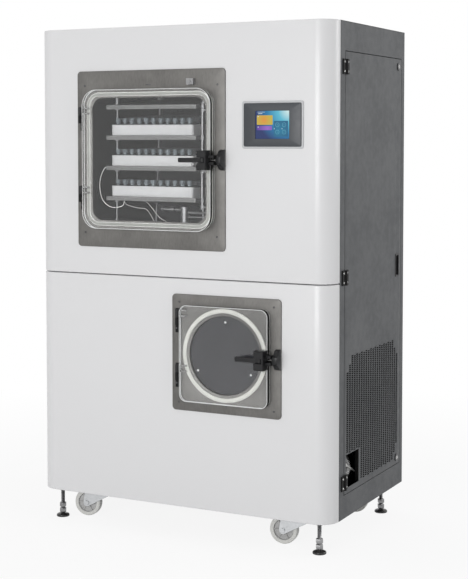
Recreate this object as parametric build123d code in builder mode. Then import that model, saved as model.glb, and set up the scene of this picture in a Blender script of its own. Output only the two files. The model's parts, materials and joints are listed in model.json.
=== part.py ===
import os
from math import cos, radians, sin

from build123d import *

# All sizes are in millimetres. X runs to the right, Y to the back and Z up from the floor.
# The origin lies on the floor under the middle of the whole machine, latches included.

# Cabinet
cabinet_width = 1100.0
cabinet_depth = 650.0
cabinet_height = 1590.0
ride_gap = 8.0  # cabinet's base above the caster wheels
cover_split = 761.0  # joint between the two front covers, above the cabinet's base
cover_wrap = 64.0  # how far the covers reach round the front corners
cover_radius = 62.0
cover_wall = 4.0
cover_seam = 3.0
panel_wall = 2.0
panel_seam = 2.0
latch_reach = 70.0  # how far the door latches stand out in front

# Welded frame
frame_inset = 26.0  # from the outer skin to the frame tubes
tube = 30.0
rail_height = 40.0
deck_rise = 27.0  # machine deck above the cabinet's base
deck_thickness = 4.0
stem_cover = 5.0  # levelling stems end this far below the base rail's top
bearer_spread = 100.0  # bearers either side of what they carry

# Drying chamber
chamber_width = 428.0
chamber_height = 406.0
chamber_depth = 420.0
chamber_corner = 38.0
chamber_wall = 6.0
chamber_x = -102.0
chamber_drop = 440.0  # chamber centre below the cabinet's top
chamber_flange_margin = (37.0, 63.5)  # beyond the door's sides and ends
flange_thickness = 5.0
flange_corner = 13.0
hole_clearance = 2.0

# Chamber door
chamber_door_lap = 10.5  # beyond the gasket
chamber_door_corner = 54.0
chamber_door_thickness = 28.0
chamber_gasket_margin = (20.0, 19.0)  # gasket's outer edge beyond the opening
chamber_gasket_corner = 46.0
chamber_gasket_height_proud = 4.0
gasket_band = 12.5
door_bevel = 1.5
switch_size = (26.0, 12.0, 20.0)
switch_shift = 158.0  # door switch right of the chamber's centre
switch_gap = 12.0  # above the door
plunger_radius = 4.0
plunger_reach = 3.0

# Shelf rack, trays and vials
shelf_margin = 44.0  # either side of the shelves
shelf_rear_gap = 18.0
shelf_thickness = 14.0
shelf_count = 4
shelf_front = 16.0  # behind the cover's face
first_shelf_rise = 66.0  # underside of the lowest shelf above the chamber floor
rack_shift = -3.0  # the rack sits a little left, beside the fluid manifold
post_radius = 4.0
post_edge = 11.0
post_end = 60.0
hanger_radius = 7.0
hanger_length = 24.5  # from the top shelf to the chamber's ceiling
tray_margin = 17.0  # either side on the shelf
tray_rear_margin = 6.0
tray_height = 35.0
tray_wall = 2.0
tray_front_margin = 8.0
vial_spacing = 2.8  # between neighbouring vials
vial_gap = 1.0  # vials behind the tray's front wall
vial_radius = 12.0
vial_body = 38.0
vial_height = 54.0  # to the top of its stopper
stopper_radius = 9.5

# Fluid manifold, drain valve and probe leads
manifold_radius = 5.5
manifold_drop = 20.0  # below the lowest shelf
manifold_gap = 14.0  # from the shelves' right edge to the manifold's centre
manifold_depth = 40.0
stub_radius = 4.0
valve_radius = 8.0
valve_height = 52.0
valve_shift = 92.0  # drain valve right of the chamber's centre
valve_depth = 75.0
valve_collar = 10.0
valve_collar_radius = 13.0
outlet_radius = 5.0
outlet_length = 20.0
lead_radius = 1.5
lead_bend = 12.0
lead_setback = 20.0  # behind the shelves' front edge

# Condenser
vessel_radius = 128.0
vessel_depth = 420.0
vessel_wall = 4.0
vessel_x = 181.0
vessel_rise = 517.0  # vessel axis above the cabinet's base
vessel_flange_margin = (37.5, 33.5)  # beyond the door's sides and ends
vessel_gasket_margin = 10.0  # gasket's bore beyond the vessel's
vessel_gasket_band = 14.0
vessel_gasket_proud = 3.0
vessel_door_lap = (8.5, 7.0)  # beyond the gasket
vessel_door_corner = 26.0
vessel_door_thickness = 20.0
baffle_gap = 2.0
baffle_depth = 4.0
baffle_thickness = 2.0
sleeve_gap = 9.0
sleeve_wall = 3.0
feed_length = 60.0
vessel_nozzle = 40.0
saddle_width = 170.0
saddle_end = 90.0
saddle_thickness = 14.0
sleeve_front = 40.0
tab_margin = 17.0  # tab's centre inside the vessel's wall
tab_length = 34.0
tab_width = 14.0
tab_thickness = 10.0

# Vapour duct and its valve
duct_radius = 40.0
duct_wall = 3.0
duct_shift = 162.0  # duct centre to the right of the chamber's centre
duct_depth = 250.0
duct_flange_radius = 56.0
duct_flange = 10.0
duct_straight = 40.0  # from each end to the mitred joint
valve_body_height = 36.0
disc_thickness = 4.0
actuator_length = 90.0
actuator_lap = 12.0
actuator_width = 48.0
actuator_rise = 3.0

# Door hinges
bracket_height = 80.0
bracket_width = 20.0
bracket_thickness = 2.5
knuckle_height = 27.0
knuckle_radius = 7.0
pin_radius = 3.5
pin_recess = 2.0  # pin end below the knuckle's top
bracket_lap = 6.0  # bracket plate beyond the hinge axis
lug_width = 6.0
hinge_offset = 10.0  # hinge axis beside the door's edge
hinge_rise = 0.205  # upper and lower bracket, as parts of the door's height
hinge_fall = 0.365
leaf_thickness = 10.0
stud_radius = 2.5
stud_reach = 26.0  # into the door from its edge
stud_inset = 4.5  # stud's centre from the knuckle's end
running_fit = 0.05
end_play = 0.5

# Door latches
latch_body_width = 34.0
latch_body_height = 63.0
latch_body_depth = 35.0
latch_slot = 17.0
latch_bevel = 3.0
latch_wall = 5.0  # left behind and beside the slot
latch_pin_depth = -20.0  # pin in front of the door's face
lever_length = 88.0
lever_height = 15.0
lever_thickness = 11.0
lever_bevel = 2.5
lever_hub = 9.0
keeper_height = 68.0
keeper_depth = 34.0
keeper_shoulder = 14.0  # where the keeper's flanks break towards its nose
keeper_taper = 4.0
keeper_nose = 24.0
fork_height = 31.0
fork_mouth = 13.0
fork_reach = 17.0
fork_depth = 12.0  # fork in front of and behind the door's front face
fork_back = 14.0
roller_radius = 4.5
roller_gap = 3.0
roller_setback = 6.0  # roller's axis behind the door's front face

# Touch panel
panel_x = 346.5
panel_drop = 327.5  # touch panel centre below the cabinet's top
bezel_width = 215.0
bezel_height = 151.0
bezel_proud = 6.0
bezel_corner = 8.0
bezel_bevel = 2.0
housing_margin = 8.0
housing_depth = 45.0
screen_width = 117.6
screen_height = 88.3
screen_corner = 2.0
screen_recess = 2.5
screen_depth = 6.0

# Service door in the right side
door_front = 106.5
door_rear_margin = 30.0
door_bottom_margin = 77.0
door_top_margin = 95.5
door_fold = 14.0
return_lip = 16.0
grille_front = 17.5  # grille edge behind the door's front edge
grille_rise = 18.0
grille_width = 473.0
grille_height = 427.0
grille_corner = 44.0
cutout_width = 110.0
cutout_height = 108.0
slot_width = 28.0
slot_height = 11.0
slot_columns = 10
slot_rows = 16
grille_edge = 26.0  # outermost slots' centres from the grille's edge
side_hinge_rises = (40.0, 700.0)  # lower hinge centres above the door's bottom edge
side_hinge_drop = 48.5  # upper hinge's centre below the door's top edge
side_hinge_size = 48.0
side_hinge_leaf = 4.0
side_hinge_barrel = 5.0
side_hinge_gap = 2.0  # leaf's edge beside the hinge axis
side_hinge_web = 7.0
side_pin = 2.0
lock_margin = 32.0
lock_radius = 13.0
lock_proud = 3.0
key_slot_size = (3.0, 12.0)
lock_stem = 8.0
lock_height_low = 23.0
lock_drop_high = 26.0
tongue_length = 40.0
tongue_width = 16.0
tongue_thickness = 3.0
pull_margin = 35.5
pull_width = 35.0
pull_height = 80.0
pull_rise = 702.0
pull_wall = 2.0
pull_cup = 16.0
pull_rim = 4.0

# Casters and levelling feet
caster_x = 378.5
caster_inset = 98.0
caster_trail = 32.0
wheel_radius = 47.0
wheel_width = 26.0
wheel_lift = 3.0
tread_bevel = 3.5
dish_margin = 12.0  # rim left round the dished sides
dish_depth = 6.0
wheel_hub = 14.0
axle_radius = 5.0
axle_boss = 13.0
kingpin_radius = 9.0
race_radius = 14.0  # washer that carries the fork
fork_wall = 3.0
fork_gap = 2.5  # between wheel and fork leg
crown_length = 68.0
fork_nose = 54.0  # the fork's legs reach this far ahead of the swivel axis
fork_nose_radius = 6.0
fork_nose_drop = 31.0  # below the crown
fork_gusset = 6.0  # depth of the gusset where it leaves the leg
fork_hole = (18.0, 35.0, 3.5)  # ahead of the swivel, below the crown, radius
axle_head = 8.0
axle_head_height = 4.0
crown_thickness = 6.0
crown_drop = 7.0  # fork crown below the machine deck
kingpin_length = 14.0
caster_plate = (76.0, 62.0, 4.0)
foot_x = 490.0
foot_inset = 50.0
foot_radius = 22.5
foot_rim = 5.0
foot_height = 11.0
stem_radius = 7.0
boss_radius = 12.0
boss_flange = 18.0
stem_shoulder = 4.0
foot_nut = 12.5
foot_nut_height = 15.0
foot_nut_levels = (15.0, 34.0)
boss_drop = 12.0

# Machinery
compressor_x = -300.0
compressor_depth = 330.0
compressor_radius = 95.0
compressor_height = 262.0
grommet_height = 9.0
grommet_radius = 11.0
grommet_margin = 14.0
dome_rise = 40.0
can_bevel = 22.0
weld_level = 0.45  # weld flange's height, as a part of the can's
weld_height = 6.0
weld_proud = 4.0
plate_margin = 8.0
plate_thickness = 4.0
terminal_size = (26.0, 60.0, 60.0)
terminal_lap = 14.0
terminal_rise = 20.0
pump_x = 400.0
pump_front = 185.0
pump_block = (110.0, 120.0, 190.0)
motor_radius = 66.0
motor_length = 250.0
hose_radius = 21.0
hose_bend = 32.0
hose_depth = 245.0
hose_rise = 72.0
port_length = 14.0
hose_straight = 2.0
hose_joints = 5  # mitred joints round its half turn
wing_length = 104.0  # rod across the hose's bend
wing_size = 5.0
wing_slope = 24.0
motor_lift = 12.0
motor_bands = 5
band_width = 22.0
band_proud = 6.0
cradle_size = (100.0, 40.0)
pump_bevel = 12.0
port_proud = 5.0
exchanger_size = (46.0, 330.0, 300.0)
exchanger_depth = 250.0
exchanger_rise = 240.0
fan_radius = 125.0
fan_clearance = 6.0
shroud_reach = 30.0
spider_thickness = 4.0
spider_width = 16.0
motor_reach = 34.0
fan_motor_radius = 30.0
shaft_radius = 4.0
hub_radius = 26.0
hub_length = 20.0
blade_count = 5
blade_thickness = 2.5
blade_chord = 52.0
blade_pitch = 24.0
blade_root = 4.0  # how far a blade runs into the hub
fin_gaps = 10
fin_margin = 18.0
fin_thickness = 4.0
fin_depth = 14.0

# Derived places
base_z = 2 * wheel_radius + wheel_lift + ride_gap
top_z = base_z + cabinet_height
split_z = base_z + cover_split
half_width = cabinet_width / 2
front_y = (latch_reach - cabinet_depth) / 2
frame_x = half_width - frame_inset
frame_top = top_z - panel_wall
frame_back = cabinet_depth - frame_inset
deck_top = base_z + deck_rise + deck_thickness
chamber_gasket_width = chamber_width + 2 * chamber_gasket_margin[0]
chamber_gasket_height = chamber_height + 2 * chamber_gasket_margin[1]
chamber_door_width = chamber_gasket_width + 2 * chamber_door_lap
chamber_door_height = chamber_gasket_height + 2 * chamber_door_lap
chamber_flange_width = chamber_door_width + 2 * chamber_flange_margin[0]
chamber_flange_height = chamber_door_height + 2 * chamber_flange_margin[1]
chamber_z = top_z - chamber_drop
chamber_bottom = chamber_z - chamber_height / 2 - chamber_wall
vessel_gasket_radius = vessel_radius + vessel_gasket_margin + vessel_gasket_band
vessel_door_width = 2 * (vessel_gasket_radius + vessel_door_lap[0])
vessel_door_height = 2 * (vessel_gasket_radius + vessel_door_lap[1])
vessel_flange_width = vessel_door_width + 2 * vessel_flange_margin[0]
vessel_flange_height = vessel_door_height + 2 * vessel_flange_margin[1]
vessel_z = base_z + vessel_rise
vessel_outer = vessel_radius + vessel_wall
vessel_bottom = vessel_z - vessel_outer
shelf_width = chamber_width - 2 * shelf_margin
shelf_depth = chamber_depth - chamber_wall - shelf_front - shelf_rear_gap
shelf_room = chamber_height - first_shelf_rise - hanger_length - shelf_thickness
shelf_pitch = shelf_room / (shelf_count - 1)
tray_width = shelf_width - 2 * tray_margin
tray_depth = shelf_depth - tray_front_margin - tray_rear_margin
tray_front = shelf_front + tray_front_margin
vial_pitch = 2 * vial_radius + vial_spacing
vial_columns = int((tray_width - 2 * tray_wall) // vial_pitch)
rack_x = chamber_x + rack_shift
first_shelf_z = chamber_z - chamber_height / 2 + first_shelf_rise
shelf_right = rack_x + shelf_width / 2
manifold_x = shelf_right + manifold_gap
chamber_right = chamber_x + chamber_width / 2
panel_z = top_z - panel_drop
door_rear = cabinet_depth - door_rear_margin
door_low = base_z + door_bottom_margin
door_high = top_z - door_top_margin
grille_y = door_front + grille_front
grille_z = door_low + grille_rise
lock_y = door_rear - lock_margin
pull_y = door_rear - pull_margin
pull_z = door_low + pull_rise
chamber_door_face = flange_thickness + chamber_gasket_height_proud
vessel_door_face = flange_thickness + vessel_gasket_proud
duct_x = chamber_x + duct_shift

os.makedirs("parts", exist_ok=True)


def front_plane(depth=0.0):
    """Upright plane a given depth behind the covers' face; it looks forward, x is X and y is Z."""
    return Plane(origin=(0, front_y + depth, 0), x_dir=(1, 0, 0), z_dir=(0, -1, 0))


def side_plane(x):
    """Upright plane across the machine at x; it looks right, its x runs back and its y is Z."""
    return Plane(origin=(x, front_y, 0), x_dir=(0, 1, 0), z_dir=(1, 0, 0))


def block(x_span, y_span, z_span, mode=Mode.ADD):
    """Bar between two planes each way, with depths counted back from the covers' face."""
    low = (x_span[0], front_y + y_span[0], z_span[0])
    high = (x_span[1], front_y + y_span[1], z_span[1])
    middle = tuple((a + b) / 2 for a, b in zip(low, high))
    with Locations(middle):
        Box(*(b - a for a, b in zip(low, high)), mode=mode)


def post(x, depth, z_low, z_high, radius, mode=Mode.ADD):
    """Upright round bar."""
    with Locations((x, front_y + depth, (z_low + z_high) / 2)):
        Cylinder(radius, z_high - z_low, mode=mode)


def bar_x(x_low, x_high, depth, z, radius, mode=Mode.ADD):
    """Round bar lying across the machine."""
    with Locations(((x_low + x_high) / 2, front_y + depth, z)):
        Cylinder(radius, x_high - x_low, rotation=(0, 90, 0), mode=mode)


def bar_y(x, depth_low, depth_high, z, radius, mode=Mode.ADD):
    """Round bar lying front to back."""
    with Locations((x, front_y + (depth_low + depth_high) / 2, z)):
        Cylinder(radius, depth_high - depth_low, rotation=(90, 0, 0), mode=mode)


def rounded_plate(x, z, size, corner, depth, thickness, mode=Mode.ADD):
    """Rounded rectangular plate; a positive thickness grows towards the front."""
    with BuildSketch(front_plane(depth)) as outline:
        with Locations((x, z)):
            RectangleRounded(size[0], size[1], corner)
    extrude(outline.sketch, amount=thickness, mode=mode)


def save(part, label):
    """Label a finished piece and write it out."""
    part.label = label
    export_step(part, f"parts/{label}.step")


# Welded frame: five tube rings, uprights, bearers and machine deck, with threaded foot bosses


def frame_ring(z):
    """Rectangular ring of tube round the cabinet with its underside at z."""
    depth = frame_back - frame_inset
    with BuildSketch(Plane.XY.offset(z)) as outline:
        with Locations((0, front_y + cabinet_depth / 2)):
            Rectangle(2 * frame_x, depth)
            Rectangle(2 * (frame_x - tube), depth - 2 * tube, mode=Mode.SUBTRACT)
    extrude(outline.sketch, amount=rail_height)


foot_depths = (foot_inset, cabinet_depth - foot_inset)
stem_top = base_z + rail_height - stem_cover
bore_top = stem_top + hole_clearance
bore_radius = stem_radius + running_fit

with BuildPart() as cabinet_frame:
    bearer_levels = ((chamber_bottom, chamber_x), (vessel_bottom, vessel_x))
    rings = [base_z, split_z - rail_height / 2, frame_top - rail_height]
    for level, _ in bearer_levels:
        rings.append(level - rail_height)
    for ring_z in rings:
        frame_ring(ring_z)
    for side in (-1, 1):
        inner, outer = sorted((side * frame_x, side * (frame_x - tube)))
        for depth in (frame_inset, frame_back - tube):
            block((inner, outer), (depth, depth + tube), (base_z, frame_top))
    for level, centre in bearer_levels:
        for side in (-1, 1):
            edge = centre + side * bearer_spread - tube / 2
            span = (frame_inset, frame_back)
            block((edge, edge + tube), span, (level - rail_height, level))
    deck_low = base_z + deck_rise
    inner_x = frame_x - tube
    block((-inner_x, inner_x), (frame_inset + tube, frame_back - tube), (deck_low, deck_top))
    for side in (-1, 1):
        for depth in foot_depths:
            post(side * foot_x, depth, base_z, base_z + rail_height, boss_flange)
            post(side * foot_x, depth, base_z, bore_top, bore_radius, Mode.SUBTRACT)
save(cabinet_frame.part, "cabinet_frame")

with BuildPart() as foot_bosses:
    for side in (-1, 1):
        for depth in foot_depths:
            post(side * foot_x, depth, base_z - boss_drop, base_z, boss_radius)
            post(side * foot_x, depth, base_z - boss_drop, base_z, bore_radius, Mode.SUBTRACT)
save(foot_bosses.part, "foot_bosses")


# Moulded front covers


def cover(z_low, z_high):
    """Cover wrapped round both front corners, open behind, with a lip along its top and bottom."""
    height = z_high - z_low
    for inset, mode in ((0.0, Mode.ADD), (cover_wall, Mode.SUBTRACT)):
        with BuildSketch(Plane.XY.offset(z_low + inset)) as footprint:
            with Locations((0, front_y + (inset + cover_wrap) / 2)):
                Rectangle(cabinet_width - 2 * inset, cover_wrap - inset)
            fillet(footprint.vertices().group_by(Axis.Y)[0], cover_radius - inset)
        extrude(footprint.sketch, amount=height - 2 * inset, mode=mode)
    block((-frame_x, frame_x), (frame_inset, cover_wrap), (z_low, z_high), Mode.SUBTRACT)


with BuildPart() as cover_upper:
    cover(split_z + cover_seam / 2, top_z)
    shell_size = [s + 2 * (chamber_wall + hole_clearance) for s in (chamber_width, chamber_height)]
    rounded_plate(chamber_x, chamber_z, shell_size, chamber_corner, 0, -cover_wall, Mode.SUBTRACT)
    housing = [s - 2 * housing_margin + 2 * hole_clearance for s in (bezel_width, bezel_height)]
    rounded_plate(panel_x, panel_z, housing, bezel_corner, 0, -cover_wall, Mode.SUBTRACT)
save(cover_upper.part, "cover_upper")

with BuildPart() as cover_lower:
    cover(base_z, split_z - cover_seam / 2)
    bar_y(vessel_x, 0, cover_wall, vessel_z, vessel_outer + hole_clearance, Mode.SUBTRACT)
save(cover_lower.part, "cover_lower")


# Folded sheet panels

side_front = cover_wrap + panel_seam


def folded_side(side):
    """Side sheet with its four edges folded inwards as far as the frame."""
    skin, inside = side * half_width, side * frame_x
    sheet = side * (half_width - panel_wall)
    block(sorted((skin, inside)), (side_front, cabinet_depth), (base_z, frame_top))
    pocket_depths = (side_front + panel_wall, cabinet_depth - panel_wall)
    pocket_heights = (base_z + panel_wall, frame_top - panel_wall)
    block(sorted((sheet, inside)), pocket_depths, pocket_heights, Mode.SUBTRACT)


with BuildPart() as side_panel_left:
    folded_side(-1)
save(side_panel_left.part, "side_panel_left")

opening_depths = (door_front - panel_seam, door_rear + panel_seam)
opening_heights = (door_low - panel_seam, door_high + panel_seam)

with BuildPart() as side_panel_right:
    folded_side(1)
    rim_depths = (opening_depths[0] - panel_wall, opening_depths[1] + panel_wall)
    rim_heights = (opening_heights[0] - panel_wall, opening_heights[1] + panel_wall)
    block((half_width - return_lip, half_width), rim_depths, rim_heights)
    block((half_width - return_lip, half_width), opening_depths, opening_heights, Mode.SUBTRACT)
save(side_panel_right.part, "side_panel_right")

with BuildPart() as top_cover:
    lid_heights = (frame_top, top_z)
    block((-half_width, half_width), (side_front, cabinet_depth), lid_heights)
    tongue_x = frame_x - hole_clearance / 2
    block((-tongue_x, tongue_x), (frame_inset + hole_clearance / 2, side_front), lid_heights)
save(top_cover.part, "top_cover")

with BuildPart() as back_panel:
    back_x = frame_x - hole_clearance / 2
    block((-back_x, back_x), (frame_back, cabinet_depth), (base_z, frame_top))
    pocket_x = back_x - panel_wall
    pocket_heights = (base_z + panel_wall, frame_top - panel_wall)
    back_pocket = (frame_back, cabinet_depth - panel_wall)
    block((-pocket_x, pocket_x), back_pocket, pocket_heights, Mode.SUBTRACT)
save(back_panel.part, "back_panel")


# Service door, its grille, hinges, pull and locks

door_inside = half_width - door_fold


def grille_outline():
    """Grille field with three clipped corners and a square one, as a sketch."""
    low_y, low_z = grille_y, grille_z
    high_y, high_z = grille_y + grille_width, grille_z + grille_height
    with BuildSketch(side_plane(half_width)) as field:
        with BuildLine():
            Polyline(
                (low_y + grille_corner, high_z),
                (high_y - grille_corner, high_z),
                (high_y, high_z - grille_corner),
                (high_y, low_z + grille_corner),
                (high_y - grille_corner, low_z),
                (low_y, low_z),
                (low_y, high_z - grille_corner),
                close=True,
            )
        make_face()
    return field.sketch


with BuildPart() as service_door:
    block((door_inside, half_width), (door_front, door_rear), (door_low, door_high))
    pocket_depths = (door_front + panel_wall, door_rear - panel_wall)
    pocket_heights = (door_low + panel_wall, door_high - panel_wall)
    sheet_x = half_width - panel_wall
    block((door_inside, sheet_x), pocket_depths, pocket_heights, Mode.SUBTRACT)
    extrude(grille_outline(), amount=-panel_wall, mode=Mode.SUBTRACT)
    pull_hole = pull_width / 2 - pull_rim
    pull_tall = pull_height / 2 - pull_rim
    pull_span = (pull_y - pull_hole, pull_y + pull_hole)
    pull_heights = (pull_z - pull_tall, pull_z + pull_tall)
    block((sheet_x, half_width), pull_span, pull_heights, Mode.SUBTRACT)
    for lock_z in (door_low + lock_height_low, door_high - lock_drop_high):
        bar_x(sheet_x, half_width, lock_y, lock_z, lock_stem + running_fit, Mode.SUBTRACT)
save(service_door.part, "service_door")

with BuildPart() as vent_grille:
    extrude(grille_outline(), amount=-panel_wall)
    corner_depths = (grille_y, grille_y + cutout_width)
    corner_heights = (grille_z, grille_z + cutout_height)
    sheet_span = (half_width - panel_wall, half_width)
    block(sheet_span, corner_depths, corner_heights, Mode.SUBTRACT)
    column_pitch = (grille_width - 2 * grille_edge) / (slot_columns - 1)
    row_pitch = (grille_height - 2 * grille_edge) / (slot_rows - 1)
    slot_places = []
    for column in range(slot_columns):
        for row in range(slot_rows):
            along = grille_edge + column * column_pitch
            up = grille_edge + row * row_pitch
            near_edge = min(along, grille_width - along) + min(up, grille_height - up)
            in_corner = near_edge < grille_corner + slot_width
            beside_cut = along < cutout_width + slot_width and up < cutout_height + slot_height
            if not in_corner and not beside_cut:
                slot_places.append((grille_y + along, grille_z + up))
    with BuildSketch(side_plane(half_width)) as slots:
        with Locations(*slot_places):
            Rectangle(slot_width, slot_height)
    extrude(slots.sketch, amount=-panel_wall, mode=Mode.SUBTRACT)
save(vent_grille.part, "vent_grille")

side_hinge_levels = [door_low + rise for rise in side_hinge_rises]
side_hinge_levels.append(door_high - side_hinge_drop)
side_hinge_y = door_front - panel_seam / 2
side_hinge_x = half_width + side_hinge_barrel


def side_hinge(z, on_door):
    """Half of a surface hinge: the door's half has the middle knuckle, the other holds the pin."""
    half, third = side_hinge_size / 2, side_hinge_size / 3
    way = 1 if on_door else -1
    whole, middle = (z - half, z + half), (z - third / 2, z + third / 2)
    leaf = (side_hinge_y + way * side_hinge_gap, side_hinge_y + way * half)
    block((half_width, half_width + side_hinge_leaf), sorted(leaf), whole)
    web_span = sorted((side_hinge_y, side_hinge_y + way * side_hinge_web))
    web = (half_width, side_hinge_x)
    if on_door:
        clear = side_hinge_barrel + end_play
        post(side_hinge_x, side_hinge_y, *whole, clear, Mode.SUBTRACT)
        knuckle = (middle[0] + end_play, middle[1] - end_play)
        post(side_hinge_x, side_hinge_y, *knuckle, side_hinge_barrel)
        block(web, web_span, knuckle)
        post(side_hinge_x, side_hinge_y, *knuckle, side_pin + running_fit, Mode.SUBTRACT)
    else:
        post(side_hinge_x, side_hinge_y, *whole, side_hinge_barrel)
        block(web, web_span, whole)
        gap_x = (half_width, side_hinge_x + side_hinge_barrel + end_play)
        gap_y = (side_hinge_y - side_hinge_barrel - end_play, side_hinge_y + side_hinge_web)
        block(gap_x, gap_y, middle, Mode.SUBTRACT)
        post(side_hinge_x, side_hinge_y, *middle, side_pin)


with BuildPart() as side_hinge_plates:
    for level in side_hinge_levels:
        side_hinge(level, on_door=False)
save(side_hinge_plates.part, "side_hinge_plates")

with BuildPart() as side_hinge_leaves:
    for level in side_hinge_levels:
        side_hinge(level, on_door=True)
save(side_hinge_leaves.part, "side_hinge_leaves")

with BuildPart() as door_pull:
    rim = (half_width, half_width + pull_wall)
    wide = (pull_y - pull_width / 2, pull_y + pull_width / 2)
    tall = (pull_z - pull_height / 2, pull_z + pull_height / 2)
    block(rim, wide, tall)
    cup = (half_width - pull_cup, half_width)
    slack = hole_clearance / 4
    cup_wide = (pull_span[0] + slack, pull_span[1] - slack)
    cup_tall = (pull_heights[0] + slack, pull_heights[1] - slack)
    block(cup, cup_wide, cup_tall)
    hollow = (half_width - pull_cup + pull_wall, half_width + pull_wall)
    inside_wide = (cup_wide[0] + pull_wall, cup_wide[1] - pull_wall)
    inside_tall = (cup_tall[0] + pull_wall, cup_tall[1] - pull_wall)
    block(hollow, inside_wide, inside_tall, Mode.SUBTRACT)
save(door_pull.part, "door_pull")

tongue_x = half_width - return_lip - 2 * tongue_thickness


def cam_lock(label, z, way):
    """Round lock head, its stem through the door, and a cam tongue that points inwards unlocked."""
    with BuildPart() as lock:
        face = half_width + lock_proud
        bar_x(half_width, face, lock_y, z, lock_radius)
        bar_x(tongue_x, half_width, lock_y, z, lock_stem)
        tongue = (tongue_x, tongue_x + tongue_thickness)
        wide = (lock_y - tongue_width / 2, lock_y + tongue_width / 2)
        block(tongue, wide, sorted((z, z + way * tongue_length)))
        bar_x(*tongue, lock_y, z, tongue_width / 2)
        half_slot = (key_slot_size[0] / 2, key_slot_size[1] / 2)
        slot_y = (lock_y - half_slot[0], lock_y + half_slot[0])
        slot_z = (z - half_slot[1], z + half_slot[1])
        block((face - lock_proud / 2, face), slot_y, slot_z, Mode.SUBTRACT)
    save(lock.part, label)


cam_lock("upper_cam_lock", door_high - lock_drop_high, -1)
cam_lock("lower_cam_lock", door_low + lock_height_low, 1)


# Touch panel

with BuildPart() as touch_panel_bezel:
    bezel = (bezel_width, bezel_height)
    rounded_plate(panel_x, panel_z, bezel, bezel_corner, 0, bezel_proud)
    chamfer(touch_panel_bezel.faces().sort_by(Axis.Y)[0].edges(), bezel_bevel)
    body = [s - 2 * housing_margin for s in bezel]
    rounded_plate(panel_x, panel_z, body, bezel_corner / 2, 0, -housing_depth)
    screen = (screen_width, screen_height)
    window_depth = -bezel_proud
    rounded_plate(
        panel_x, panel_z, screen, screen_corner, window_depth, -screen_depth, Mode.SUBTRACT
    )
save(touch_panel_bezel.part, "touch_panel_bezel")

with BuildPart() as touch_panel_screen:
    screen_face = screen_recess - bezel_proud
    rounded_plate(
        panel_x, panel_z, screen, screen_corner, screen_face, screen_recess - screen_depth
    )
save(touch_panel_screen.part, "touch_panel_screen")


# Drying chamber and what is in it

duct_port = duct_radius - duct_wall
chamber_nozzle_z = chamber_bottom - rail_height - duct_flange

with BuildPart() as drying_chamber:
    flange = (chamber_flange_width, chamber_flange_height)
    inner = (chamber_width, chamber_height)
    outer = [s + 2 * chamber_wall for s in inner]
    rounded_plate(chamber_x, chamber_z, flange, flange_corner, 0, flange_thickness)
    outer_corner = chamber_corner + chamber_wall
    rounded_plate(chamber_x, chamber_z, outer, outer_corner, 0, -chamber_depth)
    post(duct_x, duct_depth, chamber_nozzle_z, chamber_bottom + chamber_wall / 2, duct_radius)
    post(duct_x, duct_depth, chamber_nozzle_z - duct_flange, chamber_nozzle_z, duct_flange_radius)
    hollow = chamber_wall - chamber_depth - flange_thickness
    rounded_plate(
        chamber_x, chamber_z, inner, chamber_corner, -flange_thickness, hollow, Mode.SUBTRACT
    )
    port_top = chamber_bottom + 2 * chamber_wall
    post(duct_x, duct_depth, chamber_nozzle_z - duct_flange, port_top, duct_port, Mode.SUBTRACT)
save(drying_chamber.part, "drying_chamber")

with BuildPart() as door_switch:
    switch_x = chamber_x + switch_shift
    switch_z = chamber_z + chamber_door_height / 2 + switch_gap
    switch_front = -flange_thickness - switch_size[1]
    wide = (switch_x - switch_size[0] / 2, switch_x + switch_size[0] / 2)
    block(wide, (switch_front, -flange_thickness), (switch_z, switch_z + switch_size[2]))
    plunger_z = switch_z + switch_size[2] / 2
    bar_y(switch_x, switch_front - plunger_reach, switch_front, plunger_z, plunger_radius)
save(door_switch.part, "door_switch")

shelf_span = (rack_x - shelf_width / 2, rack_x + shelf_width / 2)
shelf_depths = (shelf_front, shelf_front + shelf_depth)
shelf_levels = [first_shelf_z + i * shelf_pitch for i in range(shelf_count)]
post_places = [
    (rack_x + side * (shelf_width / 2 - post_edge), depth)
    for side in (-1, 1)
    for depth in (shelf_front + post_end, shelf_front + shelf_depth - post_end)
]

with BuildPart() as shelves:
    for level in shelf_levels:
        block(shelf_span, shelf_depths, (level, level + shelf_thickness))
save(shelves.part, "shelves")

with BuildPart() as shelf_posts:
    floor_z = chamber_z - chamber_height / 2
    ceiling_z = chamber_z + chamber_height / 2
    lows = [floor_z] + [level + shelf_thickness for level in shelf_levels[:-1]]
    for x, depth in post_places:
        for low, high in zip(lows, shelf_levels):
            post(x, depth, low, high, post_radius)
        post(x, depth, shelf_levels[-1] + shelf_thickness, ceiling_z, hanger_radius)
save(shelf_posts.part, "shelf_posts")

tray_levels = [level + shelf_thickness for level in shelf_levels[:-1]]

with BuildPart() as trays:
    for level in tray_levels:
        x_span = (rack_x - tray_width / 2, rack_x + tray_width / 2)
        y_span = (tray_front, tray_front + tray_depth)
        block(x_span, y_span, (level, level + tray_height))
        x_inner = (x_span[0] + tray_wall, x_span[1] - tray_wall)
        y_inner = (y_span[0] + tray_wall, y_span[1] - tray_wall)
        block(x_inner, y_inner, (level + tray_wall, level + tray_height), Mode.SUBTRACT)
save(trays.part, "trays")

row_y = front_y + tray_front + tray_wall + vial_gap + vial_radius
vial_stages = ((0.0, vial_body, vial_radius), (vial_body, vial_height, stopper_radius))

with BuildPart() as vials:
    for low, high, radius in vial_stages:
        middle = tray_wall + (low + high) / 2
        vial_places = [
            (rack_x + (column - (vial_columns - 1) / 2) * vial_pitch, row_y, level + middle)
            for level in tray_levels
            for column in range(vial_columns)
        ]
        with Locations(*vial_places):
            Cylinder(radius, high - low)
save(vials.part, "vials")

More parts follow.
